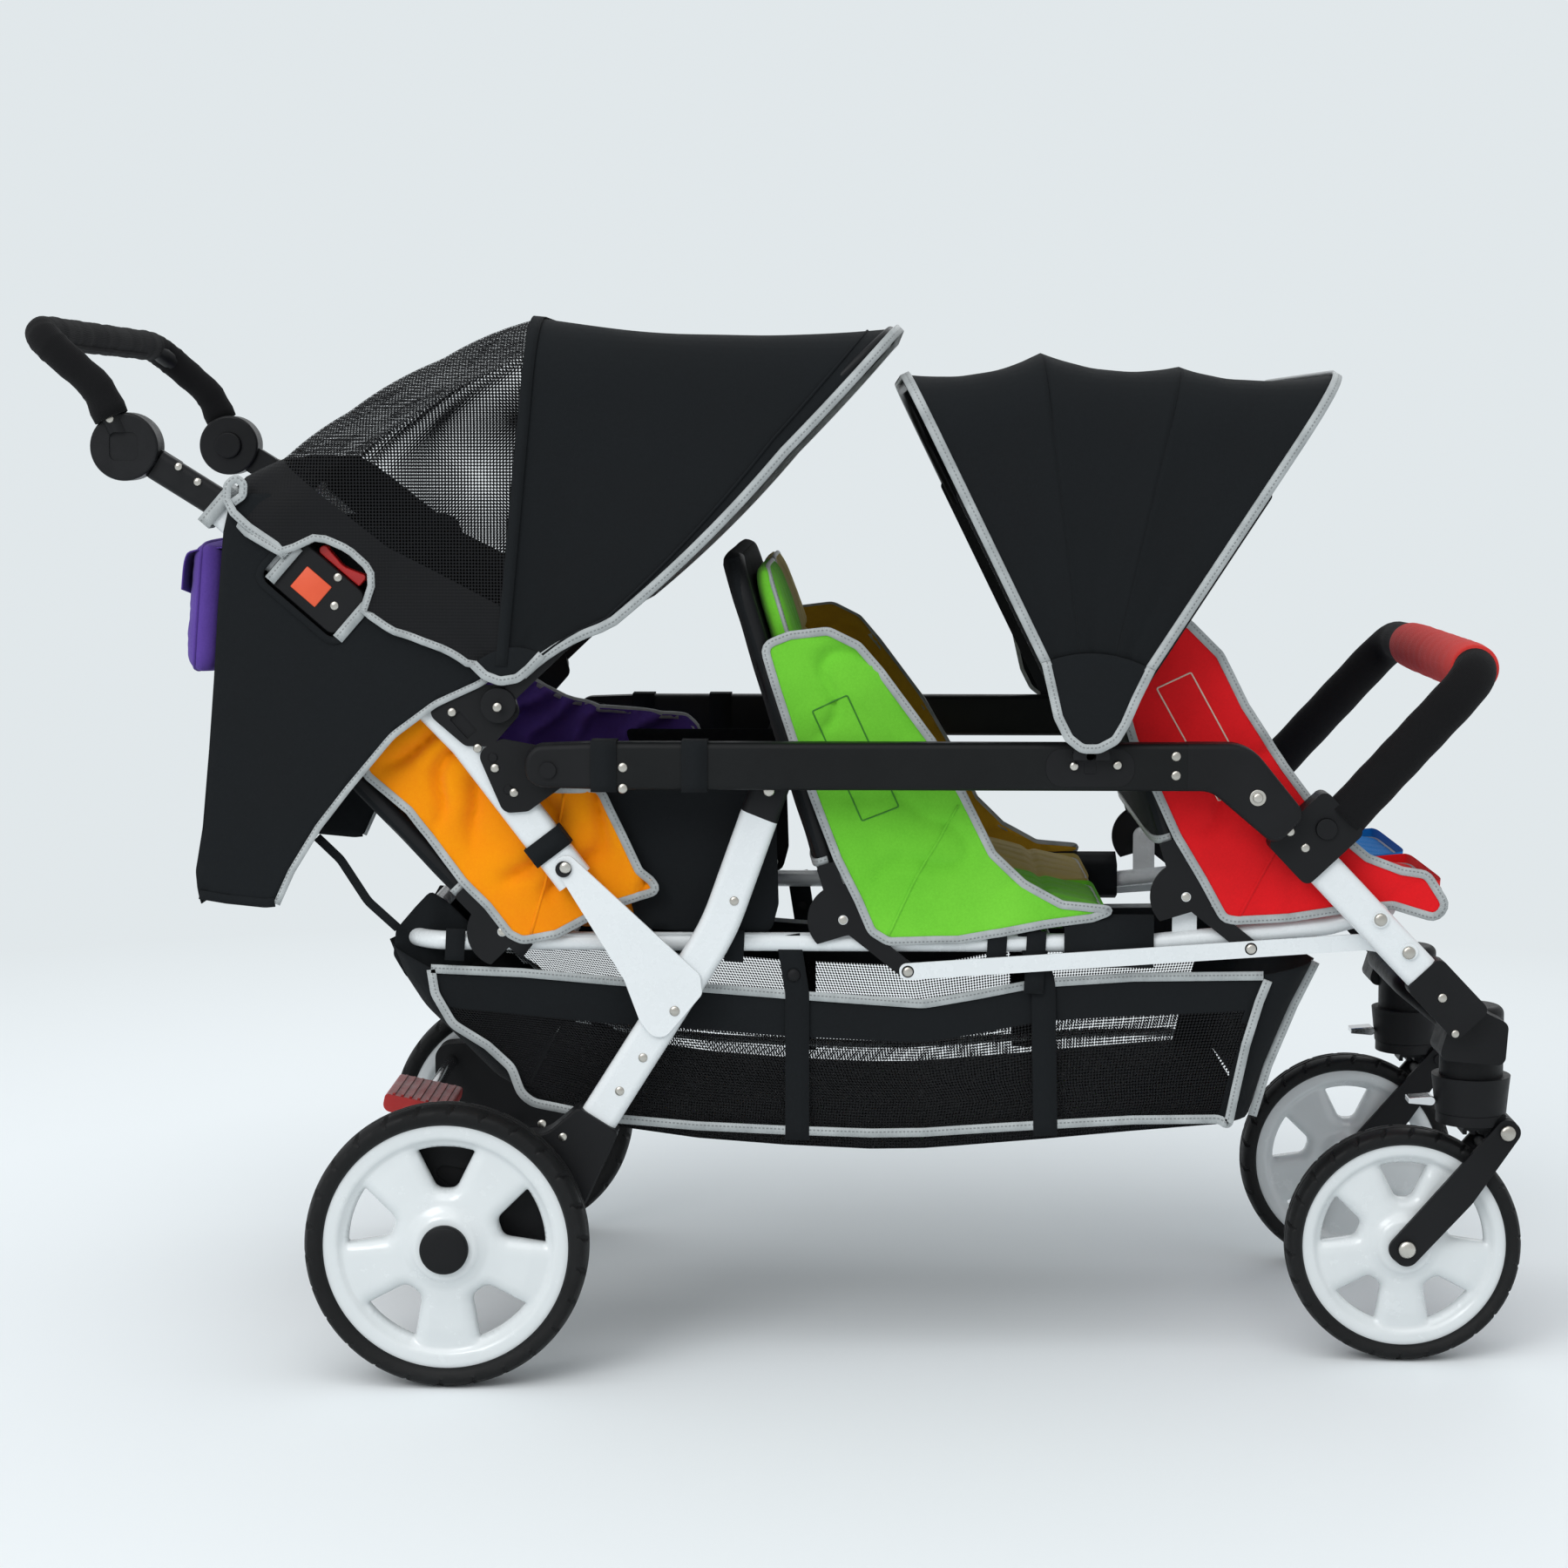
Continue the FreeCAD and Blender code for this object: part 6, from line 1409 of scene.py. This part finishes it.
def canopy_foot(name, outline, out, body):
    """Cloth on both sides that closes a canopy's foot over its hub, with its tape."""
    parts = []
    line = bent(outline, 14, 3)
    (x1, z1), (x2, z2) = line[-1], line[0]
    top = [(x1 + (x2 - x1) * k / 9, z1 + (z2 - z1) * k / 9 + 0.6 * k * (9 - k)) for k in range(1, 9)]
    for side_y in side_names:
        parts.append(cloth_plane("foot", line + top, flat_at(out), black_cloth, side_y, 5))
        parts.append(tape("foot_tape", line, flat_at(out), side_y, None, 9.0))
    return belongs(joined(name, parts), body)


canopy_foot("front_canopy_foot", [
    (626, 768), (632, 742), (639, 711), (650, 689), (664, 678), (681, 678), (698, 687), (708, 704),
    (719, 730), (734, 761),
], 343.2, "rails")
canopy_foot("rear_canopy_foot", [
    (30, 762), (42, 750), (58, 744), (76, 747), (88, 757), (102, 772),
], 305.4, "rear_canopy")

hood_edge = np.array([(30, 60), (41, 51), (144, 36), (260, 38.5), (400, 41.5), (569, 43.2)], float)
back_edge = np.array([
    (26, 86), (41, 100), (50, 125), (100, 139), (136, 144.9), (174, 145), (178, 138), (195, 133.1),
    (226, 133.7), (258, 136.7), (266, 139.4), (275, 144.9), (322, 145.6), (346, 144.5), (368, 144.5),
], float)
bow_angle = 84.5
hood_rows = fan(
    rear_hub, lambda r, t: bow_angle + (np.interp(r, *hood_edge.T) - bow_angle) * t,
    lambda t: chord(bow_angle - 40.8 * t, (bow_angle, 409), (43.7, 578)), 42, lambda t: 304.5, (14, 7), 34)
hood = skin("rear_canopy_hood", hood_rows, black_cloth, False, (rear_hub[0], 0, rear_hub[1]))
hood_tape = edge_tape("rear_canopy_hood_tape", hood_rows[-1], rear_hub)
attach(hood_tape, "rear_canopy_front")
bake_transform(hood)
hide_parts("rear_canopy_cloth")
hem_rows = [(x, y * 1.003, z) for x, y, z in hood_rows[-3]]
hood_hem = swept("rear_canopy_hem_seam", hem_rows, ring_section(1.5, 6), black_cloth)
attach(hood_hem, "rear_canopy_front")
ridge_line, ridge_ups = [], []
for x, y, z in hood_rows[0]:
    over = Vector((x - rear_hub[0], 0, z - rear_hub[1]))
    ridge_line.append((x + over.x * 0.002, y * 1.004, z + over.z * 0.003))
    ridge_ups.append(over.normalized() if abs(y * 1.004) < 260 else Vector((0, math.copysign(1, y), 0)))
ridge_band = [(6, 0.8), (-6, 0.8), (-6, -0.8), (6, -0.8)]
ridge = swept("rear_canopy_ridge_seam", ridge_line, ridge_band, black_cloth, ridge_ups)
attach(ridge, "rear_canopy")

net_back = mesh_finish("net_back", 0.06, "seam")
back_reach = np.array([(84.5, 409), (100, 372), (118, 352), (132, 350), (139, 366), (144.5, 368)], float)
back_rows = fan(
    rear_hub, lambda r, t: bow_angle + (np.interp(r, *back_edge.T) - bow_angle) * t,
    lambda t: float(np.interp(bow_angle + 60 * t, *back_reach.T)), 26, lambda t: 304 - 7 * t, (4, 5), 44)
back_sheet = skin("rear_canopy_back", back_rows, net_back, False, (rear_hub[0], 0, rear_hub[1]))
back_map = back_sheet.data.uv_layers["UVMap"]
for face in back_sheet.data.polygons:
    flank = abs(face.center.y) > 0.25
    for loop in face.loop_indices:
        x, y, z = back_sheet.data.vertices[back_sheet.data.loops[loop].vertex_index].co
        flat = (x, z) if y < 0 else (x * 0.83, z * 0.87)
        back_map.data[loop].uv = flat if flank else (x * 1.2, y)
seam_line = np.array([(-262, 1070), (-176, 975), (-128, 937), (-61, 884), (46, 829), (90, 806)], float)
seam = back_sheet.data.attributes.new("seam", "FLOAT", "POINT")
for i, vertex in enumerate(back_sheet.data.vertices):
    x, z = vertex.co.x * 1000 + middle_x, vertex.co.z * 1000
    seam.data[i].value = (z - np.interp(x, *seam_line.T)) / 1000
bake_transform(back_sheet)
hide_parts("rear_canopy_cloth")
back_tape = edge_tape("rear_canopy_back_tape", back_rows[-1], rear_hub, 7.0)
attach(back_tape, "push_frame")

# Rear curtain: a black cloth back with a wing round each push tube, notched for the fold
# locks, taped along its free edges and hemmed at its foot.
curtain_outline = [
    (-212, 940), (-228, 926), (-234, 900), (-241, 818), (-246, 744), (-252, 671), (-260, 587), (-268, 541),
    (-266, 518), (-235, 509), (-194, 504), (-182, 506), (-166, 541), (-137, 588), (-105, 629), (-58, 685),
    (-12, 719), (34, 740), (45, 747),
    lock_at(-34, -60), lock_at(-34, 28), lock_at(72, 28), lock_at(72, -60), (-186, 940),
]
curtain_radii = [0, 10, 20, 40, 40, 40, 40, 30, 8, 20, 10, 6, 40, 60, 60, 60, 40, 10, 4, 10, 16, 16, 10, 4]


def curtain_out(x, z):
    """The curtain's wing, flat with slight ripples."""
    return 291.6 + 0.9 * noise.noise(Vector((x / 40, z / 60, 2)))


curtain_loop = loop_of(curtain_outline, curtain_radii, 5)
wings = [
    cloth_plane("curtain_wing", curtain_loop, curtain_out, black_cloth, side_y, 9) for side_y in side_names
]
rear_line = np.array([
    (504, -262), (518, -266), (541, -268), (587, -260), (671, -252), (744, -246), (818, -241), (919, -232),
    (945, -228),
], float)


def rear_x(z):
    """How far back the curtain hangs at a height."""
    return float(np.interp(z, *rear_line.T))


curtain_half = 291.4
sheet_rows = []
for k in range(48):
    row = []
    for j in range(61):
        y = curtain_half * (2 * j / 60 - 1)
        top = 926 - 34 * min(1, max(0, (abs(y) - 236) / 50))
        z = 506 + (top - 506) * k / 47
        wave = 2.2 * noise.noise(Vector((y / 75, z / 130, 5))) * min(1, (curtain_half - abs(y)) / 40)
        row.append((rear_x(z) + wave, y, z))
    sheet_rows.append(row)
sheet_back = skin("curtain_back", sheet_rows, black_cloth, False, (0, 0, 700))
curtain = joined("rear_curtain_cloth", wings + [sheet_back])
belongs(curtain, "push_frame", "rear_curtain")
curtain_trims = []
for side_y in side_names:
    foot_line = [(-264, 516), (-235, 511), (-194, 507), (-184, 508)]
    notch = [lock_at(a, b) for a, b in ((-37, -40), (-37, 31), (75, 31), (75, -30))]
    curtain_trims += [
        tape("curtain_front", bent(curtain_outline[11:19], 60), curtain_out, side_y, None, 6.5),
        tape("curtain_hem", bent(foot_line, 30), curtain_out, side_y, black_cloth, 9),
        tape("curtain_notch", bent(notch, 16, 4), curtain_out, side_y, black_cloth, 6.5),
    ]
curtain_trim = joined("rear_curtain_tapes", curtain_trims)
belongs(curtain_trim, "push_frame")

# Rear pouch: a padded purple cloth bag on the back of the curtain, as wide as the seat, under
# a pointed flap that hangs from its top edge.
pouch_thick, pouch_gap, pouch_low, pouch_top = 52, 2.5, 744, 884
purple = seat_cloths[("rear", 1)][1]
pad(
    "rear_pouch_bag", (rear_x(pouch_low) - pouch_gap, pouch_low), (rear_x(pouch_top) - pouch_gap, pouch_top),
    (-235, 235), pouch_thick, 1, 3.0, purple, "push_frame", "rear_pouch", "purple_cloth", 41.0)
flap_rows = []
for k in range(25):
    t = k / 24
    row = []
    for j in range(61):
        a = 1 - 2 * j / 60
        foot = 836 - 30 * (1 - abs(a))
        z = 888 + (foot - 888) * t
        share = (z - pouch_low) / (pouch_top - pouch_low)
        out = pouch_thick * (0.46 + 0.54 * eased(min(share, 0.999), 9) * 0.93) if share < 0.98 else 14
        out = out * min(1, 0.3 + 3.2 * t) + 1.8
        row.append((rear_x(z) - pouch_gap - out, a * 226, z))
    flap_rows.append(row)
flap = skin("rear_pouch_flap", flap_rows, purple, False, (100, 0, 800), 1.6)
belongs(flap, "push_frame")

# Webbing and small cloth parts: loops round the rails with the black leg screens that they
# hold, straps on the tubes, grey loops beside the locks, and sleeves on the seat tubes.
trims = {"rails": [], "push_frame": [], "seat": []}


def ring_strap(body, corners, way, wide, made=black_cloth):
    """A band of webbing round a tube: its loop of corner places, and the tube's way."""
    path = rounded(corners + corners[:1], 0.0, 4)[:-1]
    half = wide / 2
    section = [(0.8, half), (-0.8, half), (-0.8, -half), (0.8, -half)]
    trims[body].append(swept("band", path, section, made, way, None, True))


def tube_band(body, side_y, start, end, distance, half_rise, near, far, wide, made=grey_tape):
    """A band round a leg or push tube at a distance from its start."""
    (x1, z1), (x2, z2) = along(start, end, distance, -half_rise), along(start, end, distance, half_rise)
    near, far = near * side_y, far * side_y
    ring = [(x1, near, z1), (x1, far, z1), (x2, far, z2), (x2, near, z2)]
    ring_strap(body, ring, (end[0] - start[0], 0, end[1] - start[1]), wide, made)


for side_y in side_names:
    for x in (167, 262):
        ring = ((289.6, 629.8), (320.2, 629.8), (320.2, 682.2), (289.6, 682.2))
        ring_strap("rails", [(x, y * side_y, z) for y, z in ring], (1, 0, 0), 27)
    tube_band("push_frame", side_y, (122, 544), (20, 678), 29, 21.5, 259.5, 286.6, 24, black_cloth)
    for sizes in ((60, 22.5, 259, 293.4, 12), (-34, 22.5, 259, 293.4, 12), (152, 24, 258, 288, 15)):
        tube_band("push_frame", side_y, lock_place, collar_end, *sizes)
    panel = [(700, y * side_y, z) for y, z in ((226.5, 444), (254.5, 436), (254.5, 492), (226.5, 480))]
    ring_strap("seat", panel, (1, 0, 0), 95)
    for x, low, high in ((580, 438, 474), (620, 407, 474), (1, 440, 474), (300, 440, 474)):
        line = [(x + (z - low) * 0.05, z) for z in np.linspace(low, high, 6)]
        trims["seat"].append(tape("seat_strap", line, flat_at(252.6), side_y, black_cloth, 20))
    corner = loop_of([
        (-69, 441), (-66, 468), (-46, 492), (-28, 511), (-12, 500), (16, 474), (24, 440), (-10, 404),
        (-32, 398), (-56, 418),
    ], [8] * 10, 4)
    trims["seat"].append(
        cloth_plane("corner", corner, lambda x, z: 222 + 1.5 * math.sin(x / 6), black_cloth, side_y, 6))
    hanger = bent([(-146, 572), (-121, 548), (-92, 503), (-60, 474)], 40, 4)
    trims["seat"].append(tape("hanger", hanger, flat_at(248.0), side_y, black_cloth, 9))
for body, parts in trims.items():
    belongs(joined(body + "_webbing", parts), body)


def screen_out(x, z):
    """The leg screens hang in soft waves."""
    loose = 0.4 + 0.6 * noise.noise(Vector((x / 50, z / 50, 9)))
    return 237.5 + 2.0 * math.sin(x / 17 + z / 60) * loose


screen_outline = [
    (148, 644), (345, 644), (346, 560), (348, 500), (340, 470), (270, 468), (196, 474), (176, 560),
]
for side_y, side in side_names.items():
    loop = loop_of(screen_outline, [6, 6, 30, 20, 12, 20, 12, 30], 5)
    screen = cloth_plane("leg_screen_" + side, loop, screen_out, black_cloth, side_y, 8)
    belongs(screen, "seat")

# Linings behind the fold locks, and the curtain's tape up to the collars with its loop. A rivet
# head on each side marks the canopy's hub.
collar_line = [
    (-168, 874), (-178, 886), (-206, 905), (-222, 920), (-229, 934), (-228, 949), (-219, 957), (-211, 950),
    (-212, 938), (-222, 931),
]
lining = loop_of([(-205, 905), (-60, 905), (-40, 850), (-90, 780), (-150, 770), (-205, 830)], [20] * 6, 4)
for side_y, side in side_names.items():
    parts = [
        tape("collar_tape", bent(collar_line, 6, 3), flat_at(296.2), side_y, None, 8.0),
        cloth_plane("lining", lining, flat_at(256.5), black_cloth, side_y, 9),
    ]
    belongs(joined("curtain_lining_" + side, parts), "push_frame")
rivet_heads("canopy_hub_rivets", "push_frame", [(55, 309, 717, 5.0)])

# Stage: a plain pale floor that keeps the soft shadow under the wheels, a pale backdrop for the
# camera alone, large soft lamps overhead and in front, and the camera fitted to the photograph.
floor_mesh = bpy.data.meshes.new("floor")
corners = [(-30, -30), (30, -30), (30, 30), (-30, 30)]
floor_mesh.from_pydata([(x, y, -0.0005) for x, y in corners], [], [(0, 1, 2, 3)])
floor_pale = new_material("floor_pale", (0.845, 0.885, 0.905), 0.9, 0.0, {"Specular IOR Level": 0.0})
backdrop = (0.755, 0.805, 0.828, 1)
far_glow = add(floor_pale, "ShaderNodeEmission", {"Color": backdrop, "Strength": 1.0}).outputs[0]
place = add(floor_pale, "ShaderNodeTexCoord").outputs["Object"]
away = add(floor_pale, "ShaderNodeVectorMath", {0: place}, operation="LENGTH").outputs["Value"]
near_look = floor_pale.node_tree.nodes["Principled BSDF"].outputs[0]
far_share = spread(floor_pale, away, 0, 1, 1.3, 2.9)
mixed = add(floor_pale, "ShaderNodeMixShader", {0: far_share, 1: near_look, 2: far_glow})
surface = floor_pale.node_tree.nodes["Material Output"].inputs["Surface"]
floor_pale.node_tree.links.new(mixed.outputs[0], surface)
floor_mesh.materials.append(floor_pale)
floor = collected("floor", floor_mesh)

world = bpy.data.worlds.new("studio")
bpy.context.scene.world = world
world.use_nodes = True
world.node_tree.nodes.clear()
seen = add(world, "ShaderNodeBackground", {"Color": backdrop, "Strength": 1.0}).outputs[0]
lit = add(world, "ShaderNodeBackground", {"Color": (0.95, 0.98, 1.0, 1), "Strength": 0.72}).outputs[0]
for_camera = add(world, "ShaderNodeLightPath").outputs["Is Camera Ray"]
mixed = add(world, "ShaderNodeMixShader", {0: for_camera, 1: lit, 2: seen})
add(world, "ShaderNodeOutputWorld", {0: mixed.outputs[0]})


def soft_lamp(name, place, aim, size, power, colour=(1, 1, 1)):
    """A square area lamp pointed at a place."""
    lamp = bpy.data.lights.new(name, "AREA")
    lamp.size = size
    lamp.energy = power
    lamp.color = colour
    obj = bpy.data.objects.new(name, lamp)
    obj.location = place
    obj.rotation_euler = (Vector(aim) - Vector(place)).to_track_quat("-Z", "Y").to_euler()
    bpy.context.scene.collection.objects.link(obj)


sun = bpy.data.lights.new("sky_lamp", "SUN")
sun.energy = 0.95
sun.angle = math.radians(55)
sun_obj = bpy.data.objects.new("sky_lamp", sun)
sun_obj.rotation_euler = (math.radians(32), math.radians(-14), 0)
bpy.context.scene.collection.objects.link(sun_obj)
soft_lamp("front_lamp", (-2.6, -4.6, 3.4), (0, 0, 0.5), 2.2, 75)
soft_lamp("back_lamp", (1.6, 4.4, 3.6), (0, 0, 0.6), 2.2, 24, (0.97, 0.99, 1.0))

lens = bpy.data.cameras.new("view")
lens.lens = 72
lens.sensor_width = 36
lens.shift_y = -0.08
camera = bpy.data.objects.new("view", lens)
camera.location = (0.08425, -3.570, 0.999)
camera.rotation_euler = (math.radians(90 - 4.04), 0, math.radians(1.40))
bpy.context.scene.collection.objects.link(camera)
bpy.context.scene.camera = camera
bpy.context.scene.view_settings.view_transform = "Standard"
